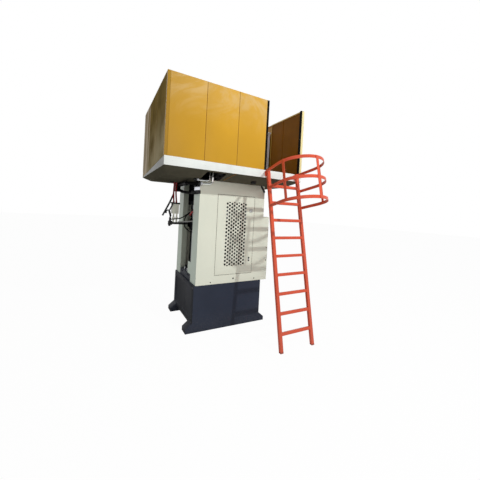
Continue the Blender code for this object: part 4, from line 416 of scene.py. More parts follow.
def finish_for(node):
    """Finish of a solid, by its name or by its name without its number."""
    kind = node.rstrip("0123456789").rstrip("_")
    return next(finish for finish, nodes in FINISHED_NODES.items() if node in nodes or kind in nodes)


# --- Helpers for new pieces ------------------------------------------------------------


def deselect():
    if bpy.context.object and bpy.context.object.mode != "OBJECT":
        bpy.ops.object.mode_set(mode="OBJECT")
    bpy.ops.object.select_all(action="DESELECT")


def choose(obj):
    """Make one object the only selected one, and active."""
    deselect()
    obj.select_set(True)
    bpy.context.view_layer.objects.active = obj


def begin(primitive, **how):
    """A primitive at its size and place, with its place in its mesh, open for shaping."""
    deselect()
    primitive(**how)
    bpy.ops.object.transform_apply(location=True, rotation=True, scale=True)
    bpy.ops.object.mode_set(mode="EDIT")
    bpy.ops.mesh.select_all(action="SELECT")
    return bpy.context.object


def done(obj):
    bpy.ops.object.mode_set(mode="OBJECT")
    return obj


def pick(obj, kind, test):
    """Select only the obj's faces or vertices that pass the test, "FACE" or "VERT"."""
    bpy.ops.mesh.select_mode(type=kind)
    bpy.ops.mesh.select_all(action="DESELECT")
    bm = bmesh.from_edit_mesh(obj.data)
    for item in bm.faces if kind == "FACE" else bm.verts:
        item.select_set(test(item))
    bmesh.update_edit_mesh(obj.data)


def block(low, high, edge=0.0015, segments=2, rotation=(0, 0, 0)):
    """Block between two corners, with its edges rounded."""
    low, high = press(*low), press(*high)
    size = high - low
    obj = begin(bpy.ops.mesh.primitive_cube_add, size=1, location=(low + high) / 2, scale=size, rotation=rotation)
    bpy.ops.mesh.bevel(offset=min(edge, min(size) * 0.4), segments=segments)
    return done(obj)


def lathe(centre, axis, steps, sides=20):
    """Round piece from a circle that is pulled out along the axis. The steps are pairs of
    radius and distance."""
    axis, centre = Vector(axis).normalized(), press(*centre)
    radius, along = steps[0]
    obj = begin(bpy.ops.mesh.primitive_circle_add, vertices=sides, radius=radius, fill_type="NGON",
                location=centre + axis * along, rotation=axis.to_track_quat("Z", "Y").to_euler())
    for wider, further in steps[1:]:
        bpy.ops.mesh.extrude_region_move(TRANSFORM_OT_translate={"value": axis * (further - along)})
        bpy.ops.transform.resize(value=(wider / radius,) * 3, center_override=centre + axis * further)
        radius, along = wider, further
    return done(obj)


def lead(points, radius, sides=2):
    """Round bead or lead along points of the press frame."""
    deselect()
    bpy.ops.curve.primitive_nurbs_path_add(location=(0, 0, 0))
    obj = bpy.context.object
    curve = obj.data
    curve.splines.clear()
    spline = curve.splines.new("NURBS")
    spline.points.add(len(points) - 1)
    for point, place in zip(spline.points, points):
        point.co = (*press(*place), 1)
    spline.order_u = min(4, len(points))
    spline.use_endpoint_u = True
    curve.bevel_depth = radius
    curve.bevel_resolution = sides
    curve.resolution_u = 8
    curve.use_fill_caps = True
    bpy.ops.object.convert(target="MESH")
    return bpy.context.object


def tray(low, high, facing, border, depth):
    """Folded sheet tray: a block with one face inset and pushed in."""
    low, high, facing = press(*low), press(*high), Vector(facing)
    obj = begin(bpy.ops.mesh.primitive_cube_add, size=1, location=(low + high) / 2, scale=high - low)
    pick(obj, "FACE", lambda face: face.normal.dot(facing) > 0.9)
    bpy.ops.mesh.inset(thickness=border)
    bpy.ops.mesh.extrude_region_move(TRANSFORM_OT_translate={"value": -facing * depth})
    return done(obj)


def joined(pieces):
    """Several pieces made one."""
    deselect()
    for piece in pieces:
        piece.select_set(True)
    bpy.context.view_layer.objects.active = pieces[0]
    if len(pieces) > 1:
        bpy.ops.object.join()
    return bpy.context.object


def scattered(piece, offsets):
    """Copies of a piece, each with its own mesh, joined to it."""
    group = [piece]
    for offset in offsets:
        copy = piece.copy()
        copy.data = piece.data.copy()
        copy.data.transform(Matrix.Translation(Vector(offset)))
        bpy.context.scene.collection.objects.link(copy)
        group.append(copy)
    return joined(group)


def row(obj, count, step):
    """A run of the obj's shape, one step apart, as one mesh."""
    choose(obj)
    run = obj.modifiers.new("row", "ARRAY")
    run.count = count
    run.use_relative_offset = False
    run.use_constant_offset = True
    run.constant_offset_displace = step
    bpy.ops.object.modifier_apply(modifier=run.name)


def settle(pieces, name, finish, body="press_frame"):
    """Make one named piece, close its seams, give it its finish and let it ride."""
    obj = joined(pieces) if isinstance(pieces, list) else pieces
    choose(obj)
    bpy.ops.object.transform_apply(location=True, rotation=True, scale=True)
    bpy.ops.object.mode_set(mode="EDIT")
    bpy.ops.mesh.select_all(action="SELECT")
    bpy.ops.mesh.remove_doubles(threshold=0.000002)
    bpy.ops.mesh.normals_make_consistent(inside=False)
    bpy.ops.object.mode_set(mode="OBJECT")
    bpy.ops.object.shade_smooth_by_angle(angle=math.radians(32))
    obj.name = name
    obj.data.name = name
    obj.data.materials.clear()
    obj.data.materials.append(FINISHES[finish])
    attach(obj, body)
    return obj


def softened(node, width):
    """Copy of a node's mesh with its hard edges rounded, standing in for the node."""
    source = frame["nodes"][node]
    obj = source.copy()
    obj.data = source.data.copy()
    for key in list(obj.keys()):
        del obj[key]
    obj.parent = None
    bpy.context.scene.collection.objects.link(obj)
    choose(obj)
    bpy.ops.object.mode_set(mode="EDIT")
    bpy.ops.mesh.select_all(action="SELECT")
    bpy.ops.mesh.remove_doubles(threshold=0.00001)
    bpy.ops.mesh.dissolve_limited(angle_limit=math.radians(0.5))
    bpy.ops.object.mode_set(mode="OBJECT")
    bevel = obj.modifiers.new("edges", "BEVEL")
    bevel.width = width
    bevel.segments = 2
    bevel.limit_method = "ANGLE"
    bevel.angle_limit = math.radians(40)
    bpy.ops.object.modifier_apply(modifier=bevel.name)
    bpy.ops.object.shade_smooth_by_angle(angle=math.radians(30))
    obj.name = node + "_sheet"
    obj.data.name = obj.name
    body = next(name for name, nodes in frame["record"]["behaviour"]["bodies"].items() if node in nodes)
    SLOTS[finish_for(node)]
    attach(obj, body)
    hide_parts(node)
    return obj


def button_head(centre, axis, radius, height):
    """Round screw head with a socket."""
    steps = [(radius, 0), (radius, height * 0.35), (radius * 0.82, height * 0.85), (radius * 0.55, height),
             (radius * 0.45, height), (radius * 0.42, height * 0.4)]
    return lathe(centre, axis, steps, 12)


def hex_head(centre, axis, radius, height):
    """Hexagon head on a washer."""
    washer = lathe(centre, axis, [(radius * 1.5, 0), (radius * 1.5, height * 0.2), (radius * 1.4, height * 0.26)], 16)
    head = lathe(centre, axis, [(radius, height * 0.2), (radius, height * 0.9), (radius * 0.86, height)], 6)
    return joined([washer, head])


def surround(x0, x1, inner, outer, edge):
    """Four blocks round an opening in a side sheet. Inner and outer edges are Y, Y, Z, Z."""
    y0, y1, z0, z1 = inner
    front, rear, bottom, top = outer
    spans = ((front, y0, bottom, top), (y1, rear, bottom, top), (y0, y1, bottom, z0), (y0, y1, z1, top))
    return [block((x0, first, low), (x1, last, high), edge, 1) for first, last, low, high in spans]


# --- Settings ----------------------------------------------------------------------------


class PressCameraSettings(bpy.types.PropertyGroup):
    lens: FloatProperty(name="Lens", description="Focal length for a 36 mm sensor", default=18.69,
                        subtype="DISTANCE_CAMERA")
    yaw: FloatProperty(name="Yaw", description="Turn about the vertical", default=1.0741, subtype="ANGLE")
    pitch: FloatProperty(name="Pitch", description="Tilt of the view", default=-0.0100, subtype="ANGLE")
    roll: FloatProperty(name="Roll", description="Roll about the view direction", default=0.0519, subtype="ANGLE")
    place: FloatVectorProperty(name="Place", description="Camera position in the press frame",
                               default=(3.908, -1.2161, 1.7909), subtype="TRANSLATION")
    shift: FloatVectorProperty(name="Shift", description="Lens shift, as shares of the frame", size=2,
                               default=(0.00585, -0.0556))


class PressLightSettings(bpy.types.PropertyGroup):
    key_power: FloatProperty(name="Key", description="Power of the high lamp", default=930, min=0)
    key_size: FloatProperty(name="Key size", description="Radius of the high lamp", default=0.10, subtype="DISTANCE")
    key_place: FloatVectorProperty(name="Key place", description="Where the high lamp hangs, in the press frame",
                                   default=(5.67, 2.24, 5.74), subtype="TRANSLATION")
    side_power: FloatProperty(name="Side", description="Power of the wide soft lamp", default=46, min=0)
    side_size: FloatProperty(name="Side size", description="Width of the soft lamp", default=3.2, subtype="DISTANCE")
    side_place: FloatVectorProperty(name="Side place", description="Where the soft lamp stands, in the press frame",
                                    default=(5.6, -1.3, 2.6), subtype="TRANSLATION")
    fill_strength: FloatProperty(name="Fill", description="Strength of the surrounding light", default=0.41, min=0)


class PressDetailSettings(bpy.types.PropertyGroup):
    vent_pitch: FloatProperty(name="Vent pitch", description="Between the columns of holes", default=0.0399,
                              subtype="DISTANCE", unit="LENGTH")
    vent_hole: FloatProperty(name="Vent hole", description="Reach of a hole, as a share of the pitch", default=0.45,
                             subtype="FACTOR")
    seam_bead: FloatProperty(name="Seam bead", description="Width of the bead in a panel seam", default=0.007,
                             subtype="DISTANCE", unit="LENGTH")
    tread_pitch: FloatProperty(name="Tread pitch", description="Between the lozenges of the deck", default=0.060,
                               subtype="DISTANCE", unit="LENGTH")
    weld_radius: FloatProperty(name="Weld", description="Radius of a weld bead", default=0.0035, subtype="DISTANCE",
                               unit="LENGTH")
    fin_count: IntProperty(name="Fins", description="Cooling fins on each side of the motor", default=9, min=2)


def settings():
    scene = bpy.context.scene
    return scene.press_camera, scene.press_light, scene.press_detail


# --- Operators ---------------------------------------------------------------------------


class PRESS_OT_camera(bpy.types.Operator):
    """Set up the camera at the photograph's viewing angle"""
    bl_idname = "press.camera"
    bl_label = "Camera"

    def execute(self, context):
        view = settings()[0]
        deselect()
        bpy.ops.object.camera_add()
        camera = context.object
        camera.name = "photo_camera"
        turn = (Matrix.Rotation(view.yaw, 3, "Z") @ Matrix.Rotation(math.pi / 2 + view.pitch, 3, "X")
                @ Matrix.Rotation(view.roll, 3, "Z"))
        camera.rotation_euler = turn.to_euler()
        camera.location = press(*view.place)
        camera.data.sensor_width = 36
        camera.data.lens = view.lens
        camera.data.shift_x, camera.data.shift_y = view.shift
        camera.data.clip_end = 200
        camera.data.dof.use_dof = False
        context.scene.camera = camera
        return {"FINISHED"}


class PRESS_OT_stage(bpy.types.Operator):
    """Pale floor, white surroundings and the lamps"""
    bl_idname = "press.stage"
    bl_label = "Stage"

    def execute(self, context):
        light = settings()[1]
        scene = context.scene
        scene.view_settings.view_transform = "Standard"
        deselect()
        bpy.ops.mesh.primitive_plane_add(size=80, location=(0, 0, -0.0005))
        floor = context.object
        floor.name = "stage_floor"
        made = material("stage_floor")
        t = Tree(made)
        seen = t.add("ShaderNodeLightPath", output="Is Camera Ray") * 0.97
        lit = t.add("ShaderNodeBsdfDiffuse", None, {"Color": (0.84, 0.84, 0.84)})
        glow = t.add("ShaderNodeEmission", None, {"Color": (1, 1, 1)})
        both = t.add("ShaderNodeMixShader", None, {0: seen, 1: lit, 2: glow})
        t.add("ShaderNodeOutputMaterial", None, {"Surface": both})
        floor.data.materials.append(made)

        scene.world = bpy.data.worlds.get("press_world") or bpy.data.worlds.new("press_world")
        t = Tree(scene.world)
        direct, glossy, through = (t.add("ShaderNodeLightPath", output="Is %s Ray" % kind)
                                   for kind in ("Camera", "Glossy", "Transmission"))
        seen = t.math("MAXIMUM", direct, t.math("MAXIMUM", glossy, through))
        strength = t.add("ShaderNodeMapRange", None, {"Value": seen, "To Min": light.fill_strength, "To Max": 1.0})
        white = t.add("ShaderNodeBackground", None, {"Color": (1, 1, 1), "Strength": strength})
        t.add("ShaderNodeOutputWorld", None, {"Surface": white})

        deselect()
        bpy.ops.object.light_add(type="POINT", location=press(*light.key_place))
        key = context.object
        key.name = "high_lamp"
        key.data.energy = light.key_power
        key.data.shadow_soft_size = light.key_size
        key.data.color = (0.94, 1.0, 0.98)
        key.visible_glossy = False
        bpy.ops.object.light_add(type="AREA", location=press(*light.side_place))
        side = context.object
        side.name = "soft_lamp"
        side.data.energy = light.side_power
        side.data.size = light.side_size
        side.data.color = (1.0, 0.93, 0.90)
        side.rotation_euler = (press(0.5, 0.4, 1.7) - side.location).to_track_quat("-Z", "Y").to_euler()
        return {"FINISHED"}


class PRESS_OT_finishes(bpy.types.Operator):
    """Give every solid its paint, metal or rubber"""
    bl_idname = "press.finishes"
    bl_label = "Finishes"

    def execute(self, context):
        for (maker, slot), group in FINISH_TABLE.items():
            for name, (colour, options) in group.items():
                FINISHES[name] = maker(name, colour, **options)
        for name, obj in frame["nodes"].items():
            finish = FINISHES[finish_for(name)]
            if not obj.data.materials:
                obj.data.materials.append(finish)
            for index in range(len(obj.data.materials)):
                obj.data.materials[index] = finish
        return {"FINISHED"}


class PRESS_OT_sheets(bpy.types.Operator):
    """Sheets, base and ladder with rounded edges"""
    bl_idname = "press.sheets"
    bl_label = "Rounded sheets"

    def execute(self, context):
        for radius, nodes in SOFTENED.items():
            for node in nodes:
                softened(node, radius)
        return {"FINISHED"}


class PRESS_OT_vent(bpy.types.Operator):
    """Perforated sheet behind the opening of the side door"""
    bl_idname = "press.vent"
    bl_label = "Door vent"

    def execute(self, context):
        detail = settings()[2]
        low, high = VENT_LOW, VENT_HIGH
        columns = 2 * round((high[1] - low[1]) / (2 * detail.vent_pitch)) + 1
        rows = round((high[2] - low[2]) / (detail.vent_pitch * VENT_CELL_SHAPE))
        pitch, rise = (high[1] - low[1]) / columns, (high[2] - low[2]) / rows
        upright = (math.pi / 2, 0, math.pi / 2)
        strips = []
        for odd in (0, 1):
            # One cell of the sheet with a round hole. Every second column starts half a cell lower.
            middle = press(high[0], low[1] + pitch * (0.5 + odd), low[2] + rise * 0.5 * (1 - odd))
            cell = begin(bpy.ops.mesh.primitive_grid_add, x_subdivisions=2, y_subdivisions=2, size=1,
                         location=middle, rotation=upright)
            bpy.ops.transform.resize(value=(1, pitch, rise), center_override=middle)
            pick(cell, "VERT", lambda vert: (vert.co - middle).length < pitch * 0.1)
            bpy.ops.mesh.delete(type="VERT")
            bpy.ops.mesh.primitive_circle_add(vertices=8, radius=pitch * detail.vent_hole, location=middle,
                                              rotation=upright)
            bpy.ops.mesh.select_all(action="SELECT")
            bpy.ops.mesh.bridge_edge_loops()
            done(cell)
            row(cell, (columns + 1) // 2 - odd, (0, pitch * 2, 0))
            row(cell, rows + odd, (0, 0, rise))
            strips.append(cell)
        sheet = joined(strips)
        bpy.ops.object.mode_set(mode="EDIT")
        for height, way in ((low[2], -1), (high[2], 1)):
            bpy.ops.mesh.select_all(action="SELECT")
            bpy.ops.mesh.bisect(plane_co=press(high[0], low[1], height), plane_no=(0, 0, way), clear_outer=True)
        bpy.ops.mesh.select_all(action="SELECT")
        bpy.ops.mesh.remove_doubles(threshold=0.0001)
        bpy.ops.mesh.normals_make_consistent(inside=False)
        bpy.ops.object.mode_set(mode="OBJECT")
        wall = sheet.modifiers.new("wall", "SOLIDIFY")
        wall.thickness = VENT_SHEET
        bpy.ops.object.modifier_apply(modifier=wall.name)
        inner = (low[1], high[1], low[2], high[2])
        border = surround(high[0] - VENT_SHEET, high[0], inner, VENT_EDGES, 0.0003)
        vent = settle([sheet, *border], "perforated_vent", "vent", "door")
        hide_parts("vent_grille")
        return {"FINISHED"}


class PRESS_OT_door_trim(bpy.types.Operator):
    """Seal round the side door, its lock plates and the stiffeners behind it"""
    bl_idname = "press.door_trim"
    bl_label = "Door trim"

    def execute(self, context):
        y0, y1, z0, z1 = DOOR_OPENING
        width = 0.0035
        outer = (y0 - width, y1 + width, z0 - width, z1 + width)
        seal = surround(HALF_WIDTH - 0.0002, HALF_WIDTH + 0.0008, DOOR_OPENING, outer, 0.0004)
        settle(seal, "door_seal", "seam")

        def plate(name, height, half_y, half_z, finish):
            piece = tray((HALF_WIDTH, LOCK_Y - half_y, height - half_z),
                         (HALF_WIDTH + 0.0016, LOCK_Y + half_y, height + half_z), (1, 0, 0), 0.0035, 0.0004)
            settle(piece, name, finish, "door")

        plate("upper_lock_plate", 1.80, 0.026, 0.024, "dark_grey")
        face = block((HALF_WIDTH + 0.0006, LOCK_Y - 0.021, 1.781), (HALF_WIDTH + 0.0022, LOCK_Y + 0.021, 1.819),
                     0.0005, 1)
        settle(face, "upper_lock_face", "off_white", "door")
        plate("lower_lock_plate", 1.03, 0.012, 0.034, "black")
        stay = [block((0.494, 0.318, z), (0.4972, 0.905, z + 0.022), 0.001, 1) for z in (0.845, 1.984)]
        settle(stay, "door_stiffeners", "cream", "door")
        return {"FINISHED"}


class PRESS_OT_screws(bpy.types.Operator):
    """Screws of the side sheets, the base plate and the platform"""
    bl_idname = "press.screws"
    bl_label = "Screws"

    def execute(self, context):
        near = [button_head((HALF_WIDTH, y, z), (1, 0, 0), 0.013 if y == PLUG_Y else 0.009, 0.0035)
                for y, z in SIDE_SCREWS]
        settle(near, "near_side_screws", "black")
        far = [button_head((-HALF_WIDTH, y, z), (-1, 0, 0), 0.0085, 0.0035) for y, z in SIDE_SCREWS]
        settle(far, "far_side_screws", "black")
        front = hex_head((-0.470, -0.020, 0.640), (0, -1, 0), 0.010, 0.009)
        offsets = [(0.94, 0, 0), (0, 0, -0.50), (0.94, 0, -0.50), (0.47, 0, 0)]
        settle(scattered(front, offsets), "base_bolts", "dark_steel")
        # The cover's middle place is taken up by the louvres
        rear = button_head((-0.480, 1.227, 0.730), (0, 1, 0), 0.0085, 0.0035)
        offsets = [(0.96 * a, 0, 0.49 * b) for a in (0, 0.5, 1) for b in (0, 1, 2)
                   if (a or b) and (a, b) != (0.5, 1)]
        settle(scattered(rear, offsets), "rear_cover_screws", "black")
        rim = button_head((DECK_NEAR, -0.50, 2.345), (1, 0, 0), 0.007, 0.003)
        settle(scattered(rim, [(0, 0.42 * k, 0) for k in range(1, 4)]), "near_rim_screws", "off_white")
        soffit = button_head((0.80, -0.50, 2.2948), (0, 0, -1), 0.007, 0.003)
        settle(scattered(soffit, [(-0.52 * k, 0, 0) for k in range(1, 4)]), "soffit_screws", "dark_steel")
        return {"FINISHED"}


class PRESS_OT_wall_trim(bpy.types.Operator):
    """Seam beads and inner folds of the guard walls, the doorway's rims and a plug"""
    bl_idname = "press.wall_trim"
    bl_label = "Wall trim"

    def execute(self, context):
        half = settings()[2].seam_bead / 2
        low, high, out = WALL_BOTTOM, WALL_TOP - 0.001, 0.0004
        near = [((0.900, y - half, low), (0.907 + out, y + half, high)) for y in (-0.1032, 0.3638)]
        far = [((-0.827 - out, 0.455 - half, low), (-0.820, 0.455 + half, high))]
        front = [((x - half, -0.607 - out, low - fall), (x + half, -0.600, high))
                 for x, fall in ((-0.2368, 0.070), (0.3168, 0.035))]
        rear = [((x - half, 1.510, low), (x + half, 1.517 + out, high)) for x in (0.4242, 0.1062)]
        for name, beads in (("side_wall_seams", near + far), ("end_wall_seams", front + rear)):
            settle([block(*corners, 0.0003, 1) for corners in beads], name, "ochre_seam")

        high, deep = WALL_TOP - 0.0005, 0.010
        folds = [((0.8720 - deep, y0, low), (0.8722, y1, high), (-1, 0, 0))
                 for y0, y1 in ((-0.5695, -0.1040), (-0.1025, 0.3630), (0.3645, 0.8145))]
        folds += [((-0.7922, y0, low), (-0.7920 + deep, y1, high), (1, 0, 0))
                  for y0, y1 in ((-0.5695, 0.4543), (0.4557, 1.4795))]
        folds += [((x0, -0.5722, low), (x1, -0.5720 + deep, high), (0, 1, 0))
                  for x0, x1 in ((-0.7895, -0.2375), (-0.2360, 0.3160), (0.3175, 0.8600))]
        inner = [((x0, 1.4820 - deep, low), (x1, 1.4822, high), (0, -1, 0))
                 for x0, x1 in ((0.4250, 0.8665), (0.1130, 0.4235))]
        # The doorway's inner folds take the ochre in painted shade
        for name, sheets, finish in (("wall_folds", folds, "ochre_rear"), ("doorway_folds", inner, "ochre_inside")):
            settle([tray(*sheet, border=0.022, depth=0.008) for sheet in sheets], name, finish)
        rim = [block((x0, 1.4705, z0), (x1, 1.4722, z1), 0.0006, 1) for x0, x1, z0, z1 in
               ((0.1132, 0.8600, 3.385, 3.4045), (0.1132, 0.1270, 2.410, 3.384))]
        settle(rim, "doorway_rims", "ochre_light")
        hole = lathe((0.400, 1.4722, 2.892), (0, -1, 0), [(0.007, 0), (0.007, 0.002), (0.0055, 0.0025)], 12)
        settle(hole, "wall_plug", "black")
        return {"FINISHED"}


class PRESS_OT_brace(bpy.types.Operator):
    """Black stay under the platform, and the flap, wire and socket beside it"""
    bl_idname = "press.brace"
    bl_label = "Stay"

    def execute(self, context):
        y, z, half_width, half_length = 1.078, 2.160, 0.018, 0.061
        bar = block((HALF_WIDTH, y - half_width, z - half_length),
                    (HALF_WIDTH + 0.004, y + half_width, z + half_length), 0.001, 1,
                    rotation=(math.atan2(0.070, 0.100), 0, 0))
        bolts = [hex_head((HALF_WIDTH + 0.004, y + side * 0.026, z - side * 0.036), (1, 0, 0), 0.007, 0.005)
                 for side in (-1, 1)]
        settle([bar, *bolts], "platform_stay", "black")
        slope = math.atan2(0.078, 0.313)
        flap = block((0.590, 0.250, 2.2505), (0.900, 0.356, 2.2535), 0.0008, 1, rotation=(0, -slope, 0))
        settle(flap, "window_flap", "soffit")
        wire = [(0.640, 0.305, 2.222), (0.720, 0.320, 2.240), (0.810, 0.340, 2.263), (0.905, 0.362, 2.286)]
        settle(lead(wire, 0.005), "earth_wire", "ochre_seam")
        settle(block((0.680, 0.740, 2.2050), (0.730, 0.800, 2.2480), 0.004, 2), "platform_socket", "black")
        return {"FINISHED"}


# Profiles of turned fittings, as pairs of radius and distance
NUT = [(0.024, 0), (0.0275, 0.003), (0.0275, 0.026), (0.024, 0.030)]
CRIMP = [(0.0225, 0), (0.0255, 0.003), (0.0255, 0.012), (0.0240, 0.014), (0.0255, 0.016), (0.0255, 0.030),
         (0.0228, 0.034)]
FLANGE = [(0.034, 0), (0.034, 0.010), (0.020, 0.013), (0.020, 0.028), (0.0165, 0.031)]
UPPER_FERRULE = [(0.0165, 0), (0.0165, 0.030), (0.014, 0.034)]
LOWER_FERRULE = [(0.0175, 0), (0.0175, 0.014), (0.0150, 0.018), (0.0160, 0.040), (0.0140, 0.044)]
TIE = [(0.0290, -0.004), (0.0315, -0.002), (0.0315, 0.003), (0.0290, 0.005)]
UPPER_WRAP = [(0.440, -0.1715, 2.1462), (0.416, -0.1744, 2.1468), (0.200, -0.130, 2.168), (-0.100, -0.100, 2.172),
              (-0.230, -0.0965, 2.171), (-0.300, -0.096, 2.170)]
LOWER_WRAP = [(-0.120, -0.065, 2.058), (-0.230, -0.082, 2.082), (-0.300, -0.094, 2.100)]


class PRESS_OT_hose_fittings(bpy.types.Operator):
    """Nuts, crimps, wraps, ties and the sleeve of the hoses"""
    bl_idname = "press.hose_fittings"
    bl_label = "Hose fittings"

    def execute(self, context):
        turned = (
            ("pipe_nuts", "machined", NUT, 6, (0, -1, 0), ((PIPE_X, -0.046, 2.1958), (PIPE_X, 0.012, 2.1462))),
            ("manifold_nuts", "machined", NUT, 6, (1, 0, 0), ((-0.368, -0.095, 2.170), (-0.368, -0.095, 2.104))),
            ("pipe_flanges", "machined", FLANGE, 24, (0, 0, -1), [(PIPE_X, y, 2.3946) for y in PIPE_YS]),
        )
        for name, finish, steps, sides, axis, places in turned:
            settle([lathe(place, axis, steps, sides) for place in places], name, finish)
        ends = [lathe((-0.338, -0.096, z), (1, -0.02, 0.01), CRIMP, 18) for z in (2.170, 2.1036)]
        ends.append(lathe((PIPE_X, -0.076, 2.1956), (-0.05, -1, -0.01), CRIMP, 18))
        ends.append(lathe((PIPE_X, -0.018, 2.1465), (-0.10, -1, 0), CRIMP, 18))
        settle(ends, "hose_crimps", "black")
        red = [lathe((x, y, 2.2135), (0, 0, -1), UPPER_FERRULE, 16)
               for x, y in ((-0.2967, -0.166), (-0.2727, -0.136))]
        red += [lathe((x, y, 1.860), (0, 0, 1), LOWER_FERRULE, 16)
                for x, y in ((-0.2967, -0.162), (-0.2727, -0.124))]
        settle(red, "red_hose_ferrules", "red_fitting")
        for name, finish, low, high, edge, segments in (
            ("hose_sleeve", "rubber", (0.2655, -0.0525, 2.0040), (0.5170, -0.0004, 2.0560), 0.005, 2),
            # Mirror-bright plate: stands in for the reflection on the upright's top strip
            ("upright_top_reflection_plate", "bright_plate", (0.2700, -0.0030, 2.0620), (0.5120, -0.0003, 2.2050), 0.0008, 1),
            ("manifold_tab", "black", (-0.235, -0.272, 2.1960), (-0.175, -0.206, 2.2137), 0.002, 2),
            ("sleeve_clip", "black", (0.500, -0.0525, 2.0040), (0.5178, 0.012, 2.0560), 0.004, 2),
            ("hose_junction", "black", (-0.336, -0.146, 2.070), (-0.296, -0.058, 2.200), 0.006, 2),
        ):
            settle(block(low, high, edge, segments), name, finish)
        settle([lead(UPPER_WRAP, 0.0290, 3), lead(LOWER_WRAP, 0.0245, 3)], "hose_wraps", "rubber")
        tie = lathe((0.150, -0.1270, 2.1680), (1, -0.05, 0), TIE, 18)
        settle(scattered(tie, [(-0.22, 0.022, 0.003)]), "cable_ties", "black")
        return {"FINISHED"}


# Leads at the front: name, finish, radius and points
FRONT_LEADS = (
    ("jumper_lead", "rubber", 0.0105,
     [(-0.352, -0.272, 1.712), (-0.330, -0.266, 1.735), (-0.300, -0.254, 1.748), (-0.272, -0.238, 1.742),
      (-0.264, -0.226, 1.712), (-0.2627, -0.219, 1.672), (-0.2627, -0.218, 1.628)]),
    ("probe_guard", "black", 0.0150,
     [(-0.390, -0.148, 2.024), (-0.390, -0.176, 1.952), (-0.390, -0.205, 1.880), (-0.390, -0.235, 1.815),
      (-0.390, -0.270, 1.745)]),
    ("second_rod", "black", 0.0115,
     [(-0.216, -0.184, 1.874), (-0.216, -0.203, 1.833), (-0.216, -0.222, 1.792), (-0.216, -0.243, 1.745)]),
    ("red_lead_end", "red_fitting", 0.013,
     [(0.2657, -0.008, 1.745), (0.262, -0.020, 1.735), (0.240, -0.032, 1.715), (0.205, -0.026, 1.690)]),
    ("grey_lead", "grey_lead", 0.0085,
     [(0.2657, 0.006, 1.602), (0.225, -0.020, 1.594), (0.150, -0.050, 1.584), (0.060, -0.075, 1.576),
      (-0.050, -0.095, 1.568), (-0.150, -0.110, 1.560)]),
)
# Profile of a stud under the valve box
STUD = [(0.008, 0), (0.008, 0.012), (0.0045, 0.015), (0.0045, 0.034), (0.007, 0.036), (0.007, 0.046)]


class PRESS_OT_leads(bpy.types.Operator):
    """Leads, rods and brackets at the front, and the ends in the opening"""
    bl_idname = "press.leads"
    bl_label = "Short leads"

    def execute(self, context):
        for name, finish, radius, points in FRONT_LEADS:
            settle(lead(points, radius), name, finish)
        settle(block((-0.410, -0.292, 1.690), (-0.345, -0.258, 1.722), 0.003, 2), "probe_clamp", "black")
        cross = [block((-0.2285, -0.214, 1.852), (-0.2120, -0.076, 1.876), 0.003, 2),
                 block((-0.408, -0.222, 1.862), (-0.212, -0.198, 1.882), 0.003, 2)]
        settle(cross, "probe_bracket", "black")
        sleeve = [(0.010, 0), (0.0165, 0.014), (0.0165, 0.090), (0.010, 0.108)]
        settle(lathe((-0.2627, -0.240, 1.740), (0, 0.31, -1), sleeve, 16), "jumper_sleeve", "rubber")
        settle(block((-0.2835, -0.2480, 1.5000), (-0.2415, -0.1850, 1.5700), 0.006, 2), "arm_end_cap", "black")
        studs = [lathe((-0.3147 + 0.030 * i, -0.150 + 0.045 * j, 1.690), (0, 0, -1), STUD, 12)
                 for i in range(2) for j in range(2)]
        settle(studs, "valve_studs", "dark_steel")
        ring = lathe((-0.2847, -0.138, 1.842), (0, 0, 1), [(0.030, 0), (0.030, 0.014), (0.026, 0.020)], 20)
        settle(ring, "valve_cap_ring", "black")
        return {"FINISHED"}


# Profiles of the gauge and the gland, and the points of a lid handle
GAUGE_CASE = [(0.040, 0), (0.042, 0.006), (0.042, 0.024), (0.036, 0.027), (0.036, 0.022)]
GAUGE_DIAL = [(0.035, 0), (0.035, 0.0015), (0.034, 0.002)]
GLAND = [(0.014, 0), (0.014, 0.010), (0.011, 0.012), (0.011, 0.030)]
LID_HANDLE = [(-0.600, 1.150, 3.262), (-0.600, 1.150, 3.305), (-0.600, 1.180, 3.312), (-0.600, 1.280, 3.312),
              (-0.600, 1.310, 3.305), (-0.600, 1.310, 3.262)]

# Pipes and the lead on the platform: name, finish, radius, sides and points
DECK_PIPES = (
    ("motor_lead", "rubber", 0.008, 2,
     [(-0.480, 0.210, 2.716), (-0.420, 0.215, 2.712), (-0.360, 0.240, 2.600), (-0.340, 0.290, 2.470),
      (-0.330, 0.360, 2.418), (-0.300, 0.520, 2.413), (-0.260, 0.760, 2.413), (-0.240, 0.9795, 2.413)]),
    ("suction_pipe", "pipe", 0.030, 3,
     [(-0.560, 0.440, 2.560), (-0.560, 0.560, 2.560), (-0.560, 0.680, 2.540), (-0.560, 0.820, 2.530),
      (-0.560, 0.985, 2.530)]),
    ("delivery_pipe", "pipe", 0.014, 3,
     [(-0.490, 0.400, 2.600), (-0.430, 0.400, 2.640), (-0.330, 0.400, 2.700), (-0.260, 0.470, 2.760),
      (-0.220, 0.540, 2.830), (-0.190, 0.560, 2.880)]),
    ("pipe_to_cylinder", "pipe", 0.015, 3,
     [(0.150, 0.420, 2.720), (0.300, 0.330, 2.700), (0.440, 0.200, 2.640), (0.540, 0.150, 2.540),
      (PIPE_X, 0.168, 2.440), (PIPE_X, 0.168, 2.4035)]),
    ("pipe_from_cylinder", "pipe", 0.015, 3,
     [(0.150, 0.470, 2.640), (0.280, 0.280, 2.600), (0.440, 0.130, 2.560), (0.560, 0.100, 2.520),
      (PIPE_X, 0.120, 2.440), (PIPE_X, 0.120, 2.4035)]),
)


